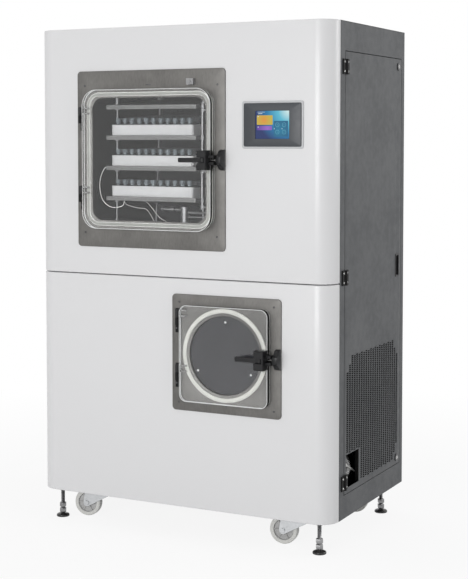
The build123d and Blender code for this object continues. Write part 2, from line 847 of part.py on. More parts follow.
with BuildPart() as fluid_manifold:
    low_z = shelf_levels[0] - manifold_drop
    high_z = shelf_levels[-1] + shelf_thickness / 2
    post(manifold_x, manifold_depth, low_z, high_z, manifold_radius)
    for level in shelf_levels:
        centre = level + shelf_thickness / 2
        bar_x(shelf_right, manifold_x, manifold_depth, centre, stub_radius)
    for centre in (low_z + manifold_radius, shelf_levels[1], high_z - 3 * manifold_radius):
        bar_x(manifold_x, chamber_right, manifold_depth, centre, stub_radius)
save(fluid_manifold.part, "fluid_manifold")

with BuildPart() as drain_valve:
    valve_x = chamber_x + valve_shift
    post(valve_x, valve_depth, floor_z, floor_z + valve_height, valve_radius)
    post(valve_x, valve_depth, floor_z, floor_z + valve_collar, valve_collar_radius)
    outlet_z = floor_z + valve_height / 2
    bar_x(valve_x, valve_x + outlet_length, valve_depth, outlet_z, outlet_radius)
save(drain_valve.part, "drain_valve")


# Chamber and condenser doors with their hinges and latches


def stud_levels(low_z):
    """Heights of the two studs that hold a door to the upper knuckle of one hinge."""
    top = low_z + bracket_height
    return (top - knuckle_height + stud_inset, top - stud_inset)


def acrylic_door(label, door):
    """Clear slab door with bevelled edges and blind holes for the hinge studs."""
    hole_end = door["left"] + stud_reach + hole_clearance
    with BuildPart() as slab:
        size, corner = door["size"], door["corner"]
        rounded_plate(door["x"], door["z"], size, corner, -door["face"], door["thickness"])
        chamfer(slab.faces().filter_by(Axis.Y).edges(), door_bevel)
        for low in door["hinges"]:
            for level in stud_levels(low):
                hole = stud_radius + running_fit
                bar_x(door["left"], hole_end, -door["axis_face"], level, hole, Mode.SUBTRACT)
    save(slab.part, label)


def hinge_levels(z, height):
    """Undersides of the two hinge brackets of a door."""
    return (z + height * hinge_rise, z - height * hinge_fall)


def hinge_bracket(axis_x, axis_face, low_z):
    """Plate on the flange with a lower knuckle and the pin that stands up out of it."""
    edge = (axis_x + bracket_lap - bracket_width, axis_x + bracket_lap)
    plate = (-flange_thickness - bracket_thickness, -flange_thickness)
    block(edge, plate, (low_z, low_z + bracket_height))
    knuckle_top = low_z + bracket_height - knuckle_height - end_play
    knuckle = (knuckle_top - knuckle_height, knuckle_top)
    post(axis_x, -axis_face, *knuckle, knuckle_radius)
    lug = (axis_x - lug_width / 2, axis_x + lug_width / 2)
    block(lug, (-axis_face, -flange_thickness), knuckle)
    post(axis_x, -axis_face, knuckle_top, low_z + bracket_height - pin_recess, pin_radius)


def hinge_strap(door, low_z):
    """Upper knuckle with a leaf against the door's edge and two studs that run into the door."""
    axis_x, axis_face = door["axis_x"], door["axis_face"]
    knuckle = (low_z + bracket_height - knuckle_height, low_z + bracket_height)
    post(axis_x, -axis_face, *knuckle, knuckle_radius)
    leaf = (-axis_face - leaf_thickness / 2, -axis_face + leaf_thickness / 2)
    block((axis_x, door["left"]), leaf, knuckle)
    for level in stud_levels(low_z):
        bar_x(axis_x, door["left"] + stud_reach, -axis_face, level, stud_radius)
    bore = (knuckle[0], knuckle[1] - pin_recess + end_play)
    post(axis_x, -axis_face, *bore, pin_radius + running_fit, Mode.SUBTRACT)


def latch_body(label, edge_x, z, front_face):
    """Slotted housing on the door's edge with a fork that straddles the keeper's roller."""
    with BuildPart() as body:
        x_span = (edge_x - latch_body_width, edge_x)
        y_span = (-front_face - latch_body_depth, -front_face)
        block(x_span, y_span, (z - latch_body_height / 2, z + latch_body_height / 2))
        chamfer(body.faces().sort_by(Axis.Y)[0].edges(), latch_bevel)
        fork_y = (-front_face - fork_depth, -front_face + fork_back)
        for side in (-1, 1):
            fork_z = sorted((z + side * fork_mouth / 2, z + side * fork_height / 2))
            block((edge_x, edge_x + fork_reach), fork_y, fork_z)
        slot_y = (y_span[0], y_span[1] - latch_wall)
        slot_x = (x_span[0], edge_x - latch_wall)
        block(slot_x, slot_y, (z - latch_slot / 2, z + latch_slot / 2), Mode.SUBTRACT)
        pin_x, pin_y = edge_x - latch_body_width / 2, latch_pin_depth - front_face
        post(pin_x, pin_y, z - latch_slot / 2, z + latch_slot / 2, pin_radius)
    save(body.part, label)


def latch_lever(label, edge_x, z, front_face):
    """Lever hinged in the housing's slot; it points at the hinge side and pulls outwards."""
    pin_x, pin_y = edge_x - latch_body_width / 2, latch_pin_depth - front_face
    half, thick = lever_height / 2, lever_thickness / 2
    with BuildPart() as lever:
        block((pin_x - lever_length, pin_x), (pin_y - thick, pin_y + thick), (z - half, z + half))
        chamfer(lever.edges().filter_by(Axis.Y).group_by(Axis.X)[0], lever_bevel)
        post(pin_x, pin_y, z - half, z + half, lever_hub)
        post(pin_x, pin_y, z - half, z + half, pin_radius + running_fit, Mode.SUBTRACT)
    save(lever.part, label)


def keeper(edge_x, z, front_face, outer_x):
    """Flared block on the flange with a stub roller that the latch's fork closes over."""
    base, shoulder = -flange_thickness, -flange_thickness - keeper_shoulder
    tip = -flange_thickness - keeper_depth
    half = keeper_height / 2
    with BuildSketch(side_plane(outer_x)) as flare:
        with BuildLine():
            Polyline(
                (base, z - half),
                (base, z + half),
                (shoulder, z + half - keeper_taper),
                (tip, z + keeper_nose / 2),
                (tip, z - keeper_nose / 2),
                (shoulder, z - half + keeper_taper),
                close=True,
            )
        make_face()
    left_x = edge_x + fork_reach + fork_gap
    extrude(flare.sketch, amount=left_x - outer_x)
    bar_x(edge_x + roller_gap, left_x, -front_face, z, roller_radius)


doors = {
    "chamber": dict(
        x=chamber_x,
        z=chamber_z,
        size=(chamber_door_width, chamber_door_height),
        corner=chamber_door_corner,
        face=chamber_door_face,
        thickness=chamber_door_thickness,
        keeper_edge=chamber_x + chamber_flange_width / 2,
    ),
    "condenser": dict(
        x=vessel_x,
        z=vessel_z,
        size=(vessel_door_width, vessel_door_height),
        corner=vessel_door_corner,
        face=vessel_door_face,
        thickness=vessel_door_thickness,
        keeper_edge=vessel_x + vessel_flange_width / 2,
    ),
}

for name, door in doors.items():
    half = door["size"][0] / 2
    left, right = door["x"] - half, door["x"] + half
    front = door["face"] + door["thickness"]
    axis_x, axis_face = left - hinge_offset, front - knuckle_radius
    door.update(left=left, right=right, front=front, axis_x=axis_x, axis_face=axis_face)
    door["hinges"] = hinge_levels(door["z"], door["size"][1])
    acrylic_door(f"{name}_door", door)
    with BuildPart() as straps:
        for low in door["hinges"]:
            hinge_strap(door, low)
    save(straps.part, f"{name}_door_straps")
    latch_body(f"{name}_latch_body", right, door["z"], front)
    latch_lever(f"{name}_latch_lever", right, door["z"], front)

with BuildPart() as hinge_brackets:
    for door in doors.values():
        for low in door["hinges"]:
            hinge_bracket(door["axis_x"], door["axis_face"], low)
save(hinge_brackets.part, "hinge_brackets")

with BuildPart() as latch_keepers:
    for door in doors.values():
        keeper(door["right"], door["z"], door["front"] - roller_setback, door["keeper_edge"])
save(latch_keepers.part, "latch_keepers")


# Condenser vessel and what is in it

vessel_nozzle_z = vessel_z + vessel_outer + vessel_nozzle
baffle_radius = vessel_radius - baffle_gap
baffle_back = baffle_depth + baffle_thickness

with BuildPart() as condenser_vessel:
    flange = (vessel_flange_width, vessel_flange_height)
    rounded_plate(vessel_x, vessel_z, flange, flange_corner, 0, flange_thickness)
    bar_y(vessel_x, 0, vessel_depth, vessel_z, vessel_outer)
    for depth in (saddle_end, vessel_depth - saddle_end - saddle_thickness):
        saddle = (vessel_x - saddle_width / 2, vessel_x + saddle_width / 2)
        block(saddle, (depth, depth + saddle_thickness), (vessel_bottom, vessel_z))
    post(vessel_x, duct_depth, vessel_z, vessel_nozzle_z, duct_radius)
    post(vessel_x, duct_depth, vessel_nozzle_z - duct_flange, vessel_nozzle_z, duct_flange_radius)
    bore_end = vessel_depth - vessel_wall
    bar_y(vessel_x, -flange_thickness, bore_end, vessel_z, vessel_radius, Mode.SUBTRACT)
    post(vessel_x, duct_depth, vessel_z, vessel_nozzle_z, duct_port, Mode.SUBTRACT)
    tab_centre = vessel_radius - tab_margin
    for angle in (90, 210, 330):
        tab_x = vessel_x + tab_centre * cos(radians(angle))
        tab_z = vessel_z + tab_centre * sin(radians(angle))
        with Locations((tab_x, front_y + baffle_back + tab_thickness / 2, tab_z)):
            Box(tab_length, tab_thickness, tab_width, rotation=(0, -angle, 0))
save(condenser_vessel.part, "condenser_vessel")

with BuildPart() as door_gaskets:
    gasket = (chamber_gasket_width, chamber_gasket_height)
    hole = [s - 2 * gasket_band for s in gasket]
    proud = chamber_gasket_height_proud
    face = -flange_thickness
    rounded_plate(chamber_x, chamber_z, gasket, chamber_gasket_corner, face, proud)
    hole_corner = chamber_gasket_corner - gasket_band
    rounded_plate(chamber_x, chamber_z, hole, hole_corner, face, proud, Mode.SUBTRACT)
    ring = (face - vessel_gasket_proud, face)
    bar_y(vessel_x, *ring, vessel_z, vessel_gasket_radius)
    bar_y(vessel_x, *ring, vessel_z, vessel_gasket_radius - vessel_gasket_band, Mode.SUBTRACT)
save(door_gaskets.part, "door_gaskets")

with BuildPart() as baffle_plate:
    bar_y(vessel_x, baffle_depth, baffle_back, vessel_z, baffle_radius)
save(baffle_plate.part, "baffle_plate")

with BuildPart() as evaporator_sleeve:
    sleeve_radius = vessel_radius - sleeve_gap
    sleeve = (sleeve_front, bore_end - sleeve_gap)
    bar_y(vessel_x, *sleeve, vessel_z, sleeve_radius)
    bar_y(vessel_x, *sleeve, vessel_z, sleeve_radius - sleeve_wall, Mode.SUBTRACT)
    port = duct_radius + sleeve_gap
    post(vessel_x, duct_depth, vessel_z, vessel_z + vessel_radius, port, Mode.SUBTRACT)
    for side in (-1, 1):
        pipe_x = vessel_x + side * (sleeve_radius - sleeve_wall / 2)
        bar_y(pipe_x, bore_end - feed_length, bore_end, vessel_z, stub_radius)
save(evaporator_sleeve.part, "evaporator_sleeve")


# Vapour duct between the two, with its isolation valve

valve_low = chamber_nozzle_z - duct_flange - valve_body_height

with BuildPart() as isolation_valve:
    valve_span = (valve_low, valve_low + valve_body_height)
    post(duct_x, duct_depth, *valve_span, duct_flange_radius)
    actuator_x = duct_x - duct_flange_radius
    actuator = (actuator_x - actuator_length, actuator_x + actuator_lap)
    half_actuator = actuator_width / 2
    actuator_depths = (duct_depth - half_actuator, duct_depth + half_actuator)
    actuator_span = (valve_low + actuator_rise, valve_low + valve_body_height - actuator_rise)
    block(actuator, actuator_depths, actuator_span)
    post(duct_x, duct_depth, *valve_span, duct_port, Mode.SUBTRACT)
    disc_low = valve_low + (valve_body_height - disc_thickness) / 2
    post(duct_x, duct_depth, disc_low, disc_low + disc_thickness, duct_port)
save(isolation_valve.part, "isolation_valve")

with BuildPart() as vapour_duct:
    duct_y = front_y + duct_depth
    with BuildLine() as duct_line:
        Polyline(
            (duct_x, duct_y, valve_low),
            (duct_x, duct_y, valve_low - duct_straight),
            (vessel_x, duct_y, vessel_nozzle_z + duct_straight),
            (vessel_x, duct_y, vessel_nozzle_z),
        )
    duct_start = Plane((duct_x, duct_y, valve_low), z_dir=(0, 0, -1))
    with BuildSketch(duct_start) as outside:
        Circle(duct_radius)
    sweep(outside.sketch, path=duct_line.line, transition=Transition.RIGHT)
    for x, low in ((duct_x, valve_low - duct_flange), (vessel_x, vessel_nozzle_z)):
        post(x, duct_depth, low, low + duct_flange, duct_flange_radius)
    with BuildSketch(duct_start) as inside:
        Circle(duct_port)
    sweep(
        inside.sketch, path=duct_line.line, transition=Transition.RIGHT, mode=Mode.SUBTRACT
    )
save(vapour_duct.part, "vapour_duct")


# Casters and levelling feet

crown_high = deck_low - crown_drop
crown_low = crown_high - crown_thickness
axle_z = wheel_radius + wheel_lift
caster_depths = (caster_inset, cabinet_depth - caster_inset)
casters = {
    "front_left": (-caster_x, caster_depths[0], 189),
    "front_right": (caster_x, caster_depths[0], 186),
    "rear_left": (-caster_x, caster_depths[1], 150),
    "rear_right": (caster_x, caster_depths[1], 10),
}

with BuildPart() as caster_plates:
    for x, depth, _ in casters.values():
        plate_x, plate_y = caster_plate[0] / 2, caster_plate[1] / 2
        plate_low = deck_low - caster_plate[2]
        block((x - plate_x, x + plate_x), (depth - plate_y, depth + plate_y), (plate_low, deck_low))
        pin_low = crown_high - kingpin_length
        post(x, depth, pin_low, plate_low, kingpin_radius)
        post(x, depth, pin_low, crown_low - end_play, race_radius)
save(caster_plates.part, "caster_plates")


def caster_plane(x, depth, heading):
    """Upright plane through a caster's swivel along the way its wheel trails."""
    turn = radians(heading)
    return Plane(
        origin=(x, front_y + depth, 0),
        x_dir=(cos(turn), sin(turn), 0),
        z_dir=(sin(turn), -cos(turn), 0),
    )


for place, (x, depth, heading) in casters.items():
    plane = caster_plane(x, depth, heading)
    leg_inside = wheel_width / 2 + fork_gap
    leg_outside = leg_inside + fork_wall
    with BuildPart() as fork:
        with BuildSketch(plane) as leg:
            with Locations((0, crown_high - crown_thickness / 2)):
                Rectangle(crown_length, crown_thickness)
            with Locations((caster_trail, axle_z)):
                Circle(axle_boss)
            make_hull()
        extrude(leg.sketch, amount=leg_outside, both=True)
        with BuildSketch(plane) as nose:
            with Locations((-crown_length / 4, base_z - hole_clearance - fork_gusset / 2)):
                Rectangle(crown_length / 2, fork_gusset)
            with Locations((-fork_nose, crown_low - fork_nose_drop)):
                Circle(fork_nose_radius)
            with Locations((caster_trail, axle_z)):
                Circle(axle_boss)
            make_hull()
        extrude(nose.sketch, amount=leg_outside, both=True)
        with BuildSketch(plane) as hole:
            with Locations((-fork_hole[0], crown_low - fork_hole[1])):
                Circle(fork_hole[2])
        extrude(hole.sketch, amount=leg_outside, both=True, mode=Mode.SUBTRACT)
        with BuildSketch(plane) as gap:
            with Locations((0, crown_low / 2)):
                Rectangle(4 * wheel_radius, crown_low)
        extrude(gap.sketch, amount=leg_inside, both=True, mode=Mode.SUBTRACT)
        post(x, depth, crown_low, crown_high, kingpin_radius + running_fit, Mode.SUBTRACT)
        for way in (-1, 1):
            with BuildSketch(plane.offset(way * leg_outside)) as head:
                with Locations((caster_trail, axle_z)):
                    RegularPolygon(axle_head, 6)
            extrude(head.sketch, amount=way * axle_head_height)
        with BuildSketch(plane) as axle:
            with Locations((caster_trail, axle_z)):
                Circle(axle_radius)
        extrude(axle.sketch, amount=leg_outside, both=True)
    save(fork.part, f"caster_fork_{place}")

    with BuildPart() as wheel:
        with BuildSketch(plane) as disc:
            with Locations((caster_trail, axle_z)):
                Circle(wheel_radius)
        extrude(disc.sketch, amount=wheel_width / 2, both=True)
        chamfer(wheel.edges().filter_by(GeomType.CIRCLE), tread_bevel)
        for way in (-1, 1):
            with BuildSketch(plane.offset(way * (wheel_width / 2 - dish_depth))) as dish:
                with Locations((caster_trail, axle_z)):
                    Circle(wheel_radius - dish_margin)
                    Circle(wheel_hub, mode=Mode.SUBTRACT)
            extrude(dish.sketch, amount=way * dish_depth, mode=Mode.SUBTRACT)
        with BuildSketch(plane) as bore:
            with Locations((caster_trail, axle_z)):
                Circle(axle_radius + running_fit)
        extrude(bore.sketch, amount=wheel_width, both=True, mode=Mode.SUBTRACT)
    save(wheel.part, f"caster_wheel_{place}")

feet = {
    "front_left": (-foot_x, foot_depths[0]),
    "front_right": (foot_x, foot_depths[0]),
    "rear_left": (-foot_x, foot_depths[1]),
    "rear_right": (foot_x, foot_depths[1]),
}

for place, (x, depth) in feet.items():
    with BuildPart() as foot:
        foot_plane = Plane(origin=(x, front_y + depth, 0), x_dir=(1, 0, 0), z_dir=(0, -1, 0))
        with BuildSketch(foot_plane) as profile:
            with BuildLine():
                Polyline(
                    (0, 0),
                    (foot_radius, 0),
                    (foot_radius, foot_rim),
                    (stem_radius + stem_shoulder, foot_height),
                    (stem_radius, foot_height),
                    (stem_radius, stem_top),
                    (0, stem_top),
                    close=True,
                )
            make_face()
        revolve(profile.sketch, axis=Axis(foot_plane.origin, (0, 0, 1)))
        for level in foot_nut_levels:
            with BuildSketch(Plane.XY.offset(level)) as nut:
                with Locations((x, front_y + depth)):
                    RegularPolygon(foot_nut, 6)
            extrude(nut.sketch, amount=foot_nut_height)
    save(foot.part, f"levelling_foot_{place}")


# Machinery on the deck

with BuildPart() as compressor:
    can_low = deck_top + grommet_height
    can_plane = Plane(
        origin=(compressor_x, front_y + compressor_depth, 0), x_dir=(1, 0, 0), z_dir=(0, -1, 0)
    )
    with BuildSketch(can_plane) as can:
        with Locations((compressor_radius / 2, can_low + compressor_height / 2)):
            Rectangle(compressor_radius, compressor_height)
        bottom_rim = can.vertices().group_by(Axis.X)[-1].sort_by(Axis.Z)[0]
        chamfer(bottom_rim, can_bevel)
        top_rim = can.vertices().group_by(Axis.Z)[-1].sort_by(Axis.X)[-1]
        fillet(top_rim, dome_rise)
    revolve(can.sketch, axis=Axis(can_plane.origin, (0, 0, 1)))
    weld_z = can_low + compressor_height * weld_level
    weld_span = (weld_z, weld_z + weld_height)
    post(compressor_x, compressor_depth, *weld_span, compressor_radius + weld_proud)
    reach = compressor_radius + plate_margin
    plate_x_span = (compressor_x - reach, compressor_x + reach)
    plate_depths = (compressor_depth - reach, compressor_depth + reach)
    block(plate_x_span, plate_depths, (can_low, can_low + plate_thickness))
    box_x = compressor_x + compressor_radius
    box_span = (box_x - terminal_lap, box_x + terminal_size[0])
    half_box = terminal_size[1] / 2
    box_depths = (compressor_depth - half_box, compressor_depth + half_box)
    box_low = weld_z + terminal_rise
    block(box_span, box_depths, (box_low, box_low + terminal_size[2]))
    grommet_reach = reach - grommet_margin
    for side in (-1, 1):
        for way in (-1, 1):
            leg_x = compressor_x + side * grommet_reach
            leg_depth = compressor_depth + way * grommet_reach
            post(leg_x, leg_depth, deck_top, can_low, grommet_radius)
save(compressor.part, "compressor")

pump_width, pump_length, pump_height = pump_block
pump_left, pump_right = pump_x - pump_width / 2, pump_x + pump_width / 2
pump_back = pump_front + pump_length
motor_back = pump_back + motor_length
hose_low = deck_top + hose_rise
hose_high = hose_low + 2 * hose_bend

with BuildPart() as vacuum_pump:
    block((pump_left, pump_right), (pump_front, pump_back), (deck_top, deck_top + pump_height))
    chamfer(vacuum_pump.edges().filter_by(Axis.Y).group_by(Axis.Z)[-1], pump_bevel)
    motor_z = deck_top + motor_radius + motor_lift
    bar_y(pump_x, pump_back, motor_back, motor_z, motor_radius - band_proud)
    band_pitch = (motor_length - band_width) / motor_bands
    for i in range(motor_bands):
        start = pump_back + band_width + i * band_pitch
        bar_y(pump_x, start, start + band_width, motor_z, motor_radius)
    cradle_middle = pump_back + motor_length / 2
    cradle = (cradle_middle - cradle_size[1] / 2, cradle_middle + cradle_size[1] / 2)
    cradle_x = (pump_x - cradle_size[0] / 2, pump_x + cradle_size[0] / 2)
    block(cradle_x, cradle, (deck_top, motor_z))
    for port_z in (hose_low, hose_high):
        bar_x(pump_right, pump_right + port_length, hose_depth, port_z, hose_radius + port_proud)
save(vacuum_pump.part, "vacuum_pump")

with BuildPart() as pump_hose:
    hose_x = pump_right + port_length
    hose_y = front_y + hose_depth
    with BuildLine() as hose_line:
        step = 180.0 / hose_joints
        corner_radius = hose_bend / cos(radians(step / 2))
        corners = [90.0 - (i + 0.5) * step for i in range(hose_joints)]
        turn = [
            (
                hose_x + hose_straight + corner_radius * cos(radians(angle)),
                hose_y,
                hose_low + hose_bend + corner_radius * sin(radians(angle)),
            )
            for angle in corners
        ]
        Polyline((hose_x, hose_y, hose_high), *turn, (hose_x, hose_y, hose_low))
    with BuildSketch(Plane((hose_x, hose_y, hose_high), z_dir=(1, 0, 0))):
        Circle(hose_radius)
    sweep(path=hose_line.line, transition=Transition.RIGHT)
    wing_x = hose_x + hose_straight + hose_bend + hose_radius
    with Locations((wing_x, hose_y, hose_low + hose_bend)):
        Box(wing_size, wing_length, wing_size, rotation=(-wing_slope, 0, 0))
save(pump_hose.part, "pump_hose")

exchanger_right = frame_x - tube
exchanger_left = exchanger_right - exchanger_size[0]
exchanger_low = base_z + exchanger_rise
exchanger_high = exchanger_low + exchanger_size[2]
exchanger_back = exchanger_depth + exchanger_size[1]
fan_depth = exchanger_depth + exchanger_size[1] / 2
fan_z = exchanger_low + exchanger_size[2] / 2
shroud_left = exchanger_left - shroud_reach
fan_x = (shroud_left + exchanger_left) / 2

with BuildPart() as heat_exchanger:
    core = (exchanger_depth, exchanger_back)
    block((exchanger_left, exchanger_right), core, (exchanger_low, exchanger_high))
    fin_pitch = (exchanger_size[1] - 2 * fin_margin + fin_thickness) / fin_gaps
    fins = (exchanger_low + fin_margin, exchanger_high - fin_margin)
    for i in range(fin_gaps):
        start = exchanger_depth + fin_margin + i * fin_pitch
        groove = (start, start + fin_pitch - fin_thickness)
        block((exchanger_right - fin_depth, exchanger_right), groove, fins, Mode.SUBTRACT)
    block((shroud_left, exchanger_left), core, (exchanger_low, exchanger_high))
    bar_x(shroud_left, exchanger_left, fan_depth, fan_z, fan_radius + fan_clearance, Mode.SUBTRACT)
    spider = (shroud_left - spider_thickness, shroud_left)
    half_arm = spider_width / 2
    block(spider, core, (fan_z - half_arm, fan_z + half_arm))
    block(spider, (fan_depth - half_arm, fan_depth + half_arm), (exchanger_low, exchanger_high))
    bar_x(shroud_left - motor_reach, shroud_left, fan_depth, fan_z, fan_motor_radius)
    bar_x(shroud_left, fan_x + hub_length / 2, fan_depth, fan_z, shaft_radius)
save(heat_exchanger.part, "heat_exchanger")

with BuildPart() as cooling_fan:
    hub = (fan_x - hub_length / 2, fan_x + hub_length / 2)
    bar_x(*hub, fan_depth, fan_z, hub_radius)
    blade_length = fan_radius - hub_radius + blade_root
    blade_centre = (fan_radius + hub_radius - blade_root) / 2
    for i in range(blade_count):
        turn = i * 360.0 / blade_count
        blade_y = front_y + fan_depth - blade_centre * sin(radians(turn))
        blade_z = fan_z + blade_centre * cos(radians(turn))
        with Locations(Location((fan_x, blade_y, blade_z), (turn, 0, 0))):
            Box(blade_thickness, blade_chord, blade_length, rotation=(0, 0, blade_pitch))
    bar_x(*hub, fan_depth, fan_z, shaft_radius + running_fit, Mode.SUBTRACT)
save(cooling_fan.part, "cooling_fan")


# Probe leads inside the chamber

with BuildPart() as probe_leads:
    lead_y = front_y + shelf_front + lead_setback
    left_x = rack_x - shelf_width / 2
    lead_top = shelf_levels[1] + shelf_thickness / 2
    lead_route = (
        (0.0, 0.0),
        (-16.0, 0.0),
        (-32.0, -35.0),
        (-34.0, -69.0),
        (-26.0, -101.0),
        (-6.0, -123.0),
        (22.0, -131.0),
        (60.0, -122.0),
    )
    lead_points = [(left_x + x, lead_y, lead_top + z) for x, z in lead_route]
    lead_points.append((left_x + lead_route[-1][0], lead_y, shelf_levels[0]))
    with BuildLine() as loop_path:
        FilletPolyline(*lead_points, radius=lead_bend)
    with BuildSketch(Plane(loop_path.line @ 0, z_dir=loop_path.line % 0)):
        Circle(lead_radius)
    sweep(path=loop_path.line)
save(probe_leads.part, "probe_leads")
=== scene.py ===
import json
from math import cos, pi, radians, sin

import bmesh
import bpy
import numpy as np
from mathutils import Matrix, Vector


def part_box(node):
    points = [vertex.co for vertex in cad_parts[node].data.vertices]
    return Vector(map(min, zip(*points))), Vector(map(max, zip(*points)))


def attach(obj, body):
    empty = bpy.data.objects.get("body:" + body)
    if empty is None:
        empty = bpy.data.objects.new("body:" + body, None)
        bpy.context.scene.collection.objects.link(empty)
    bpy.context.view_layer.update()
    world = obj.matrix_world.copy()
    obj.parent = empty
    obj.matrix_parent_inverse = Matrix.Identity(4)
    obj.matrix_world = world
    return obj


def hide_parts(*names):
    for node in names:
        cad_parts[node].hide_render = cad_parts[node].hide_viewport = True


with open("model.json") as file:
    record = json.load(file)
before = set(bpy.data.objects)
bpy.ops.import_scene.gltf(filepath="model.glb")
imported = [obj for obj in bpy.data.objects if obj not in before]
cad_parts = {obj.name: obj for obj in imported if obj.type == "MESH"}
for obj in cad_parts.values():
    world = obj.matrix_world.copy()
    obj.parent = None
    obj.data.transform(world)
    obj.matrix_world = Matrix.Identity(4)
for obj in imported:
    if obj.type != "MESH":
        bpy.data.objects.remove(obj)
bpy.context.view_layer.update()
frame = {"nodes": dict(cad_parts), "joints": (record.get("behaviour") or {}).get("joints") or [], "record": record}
nodes = frame["nodes"]
joints = {joint["name"]: joint for joint in frame["joints"]}
bodyOf = {node: body for body, members in frame["record"]["behaviour"]["bodies"].items() for node in members}
slotOf = {row["node"]: row["material_slot"] for row in frame["record"]["subparts"]}
scene = bpy.context.scene
print("frame loaded:", len(nodes), "nodes")

right = np.array([1.0, 0.0, 0.0])
back = np.array([0.0, 1.0, 0.0])
up = np.array([0.0, 0.0, 1.0])
hardAngle = 35.0  # degrees between two faces past which their edge isn't smoothed
nearAxis = 0.0001  # radius that closes a turned shape at its axis


# shared maths: outlines, lofts and pieces

def span(name):
    # lowest and highest corner of a node
    low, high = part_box(name)
    return np.array(low), np.array(high)


def middleOf(name):
    low, high = span(name)
    return (low + high) / 2


def hingeOf(name):
    # a point on a joint's axis and the axis itself
    joint = joints[name]
    return np.array(joint["pos_m"], float), np.array(joint["axis"], float)


def roundedOutline(width, height, radius, steps):
    # four quarter circles, one round each corner's centre, joined by the straight sides
    angle = np.linspace(0, pi / 2, steps + 1)
    corners = []
    for turn, (sx, sy) in enumerate(((1, 1), (-1, 1), (-1, -1), (1, -1))):
        a = angle + turn * pi / 2
        centre = np.array([sx * (width / 2 - radius), sy * (height / 2 - radius)])
        corners.append(centre + radius * np.stack([np.cos(a), np.sin(a)], axis=1))
    return np.concatenate(corners)


def circleOutline(radius, count):
    a = np.arange(count) * 2 * pi / count
    return radius * np.stack([np.cos(a), np.sin(a)], axis=1)


def loft(rings, closed=False):
    # rings is stations x points x 3; neighbouring rings are joined by quads, and the two ends
    # are capped unless the last ring runs back into the first
    stations, count = rings.shape[:2]
    r = np.arange(stations if closed else stations - 1)[:, None]
    c = np.arange(count)[None, :]
    rNext, cNext = (r + 1) % stations, (c + 1) % count
    quads = [r * count + c, r * count + cNext, rNext * count + cNext, rNext * count + c]
    faces = np.stack(np.broadcast_arrays(*quads), axis=-1).reshape(-1, 4).tolist()
    if not closed:
        faces += [list(range(count))[::-1], [(stations - 1) * count + i for i in range(count)]]
    return rings.reshape(-1, 3), faces


def lathe(origin, axis, profile, count=48, closed=False):
    # each (radius, along) station is a circle round the axis at that distance along it
    axis = axis / np.linalg.norm(axis)
    side = np.cross(axis, up if abs(axis[2]) < 0.9 else right)
    side = side / np.linalg.norm(side)
    other = np.cross(axis, side)
    a = np.arange(count) * 2 * pi / count
    round2d = np.cos(a)[:, None] * side + np.sin(a)[:, None] * other
    profile = np.array(profile, float)
    rings = profile[:, :1, None] * round2d + profile[:, 1:, None] * axis + np.array(origin)
    return loft(rings, closed)


def cylinder(origin, axis, radius, low, high, count=16):
    # a straight rod between two distances along its axis
    return lathe(origin, axis, [(radius, low), (radius, high)], count)


def easedRod(radius, low, high, inward, along):
    # the profile of a straight rod whose two rims are cut off by inward and along
    profile = [(nearAxis, low), (radius - inward, low), (radius, low + along)]
    return profile + [(radius, high - along), (radius - inward, high), (nearAxis, high)]


def sectionLoft(origin, across, rise, rows, closed=False, steps=10):
    # rounded rectangles one behind another: each row is a width, a height, a corner radius and a
    # depth along the outline's normal
    normal = np.cross(across, rise)
    rings = []
    for width, height, radius, depth in rows:
        flat = roundedOutline(width, height, max(radius, 0.0002), steps)
        rings.append(np.array(origin) + flat[:, :1] * across + flat[:, 1:] * rise + depth * normal)
    return loft(np.array(rings), closed)


def plate(origin, across, rise, size, radius, stations, steps=10):
    # one rounded rectangle carried along its normal: each (inset, depth) station shrinks it by the
    # inset and moves it by the depth
    rows = [(size[0] - 2 * inset, size[1] - 2 * inset, radius - inset, depth) for inset, depth in stations]
    return sectionLoft(origin, across, rise, rows, steps=steps)


def ringRows(outer, outerCorner, inner, innerCorner, low, high, edge, steps=3):
    # rows round the section of a flat ring: up its outer wall, over two rounded rims, down its bore
    rows = [(*outer, outerCorner, low)]
    for a in np.linspace(0, pi / 2, steps + 1):
        inset = edge * (1 - cos(a))
        rows.append((outer[0] - 2 * inset, outer[1] - 2 * inset, outerCorner - inset,
                     high - edge * (1 - sin(a))))
    for a in np.linspace(0, pi / 2, steps + 1):
        outset = edge * (1 - sin(a))
        rows.append((inner[0] + 2 * outset, inner[1] + 2 * outset, innerCorner + outset,
                     high - edge * (1 - cos(a))))
    rows.append((*inner, innerCorner, low))
    return rows


def softEdge(low, high, bevel, steps):
    # (inset, depth) stations of a slab whose two rims are quarter circles of the bevel's radius
    a = np.linspace(0, pi / 2, steps + 1)
    near = np.stack([bevel * (1 - np.sin(a)), low + bevel * (1 - np.cos(a))], axis=1)
    far = np.stack([bevel * (1 - np.cos(a)), high - bevel * (1 - np.sin(a))], axis=1)
    return np.concatenate([near, far])


def softBox(low, high, bevel=0.001, steps=2):
    # a box with rounded vertical edges and rounded rims
    low, high = np.array(low, float), np.array(high, float)
    low, high = np.minimum(low, high), np.maximum(low, high)
    bevel = min(bevel, 0.45 * (high - low).min())
    middle = (low + high) / 2
    origin = np.array([middle[0], middle[1], 0.0])
    size = (high - low)[:2]
    return plate(origin, right, back, size, bevel, softEdge(low[2], high[2], bevel, steps), steps=steps)


def smoothPath(points, count):
    # Catmull-Rom curve through the points, read at evenly spaced parameters
    points = np.array(points, float)
    ends = [2 * points[:1] - points[1:2], points, 2 * points[-1:] - points[-2:-1]]
    p = np.concatenate(ends)
    t = np.linspace(0, len(points) - 1 - 1e-9, count)
    i = t.astype(int)
    f = (t - i)[:, None]
    a, b, c, d = p[i], p[i + 1], p[i + 2], p[i + 3]
    return 0.5 * (2 * b + (c - a) * f + (2 * a - 5 * b + 4 * c - d) * f**2 + (3 * b - a - 3 * c + d) * f**3)


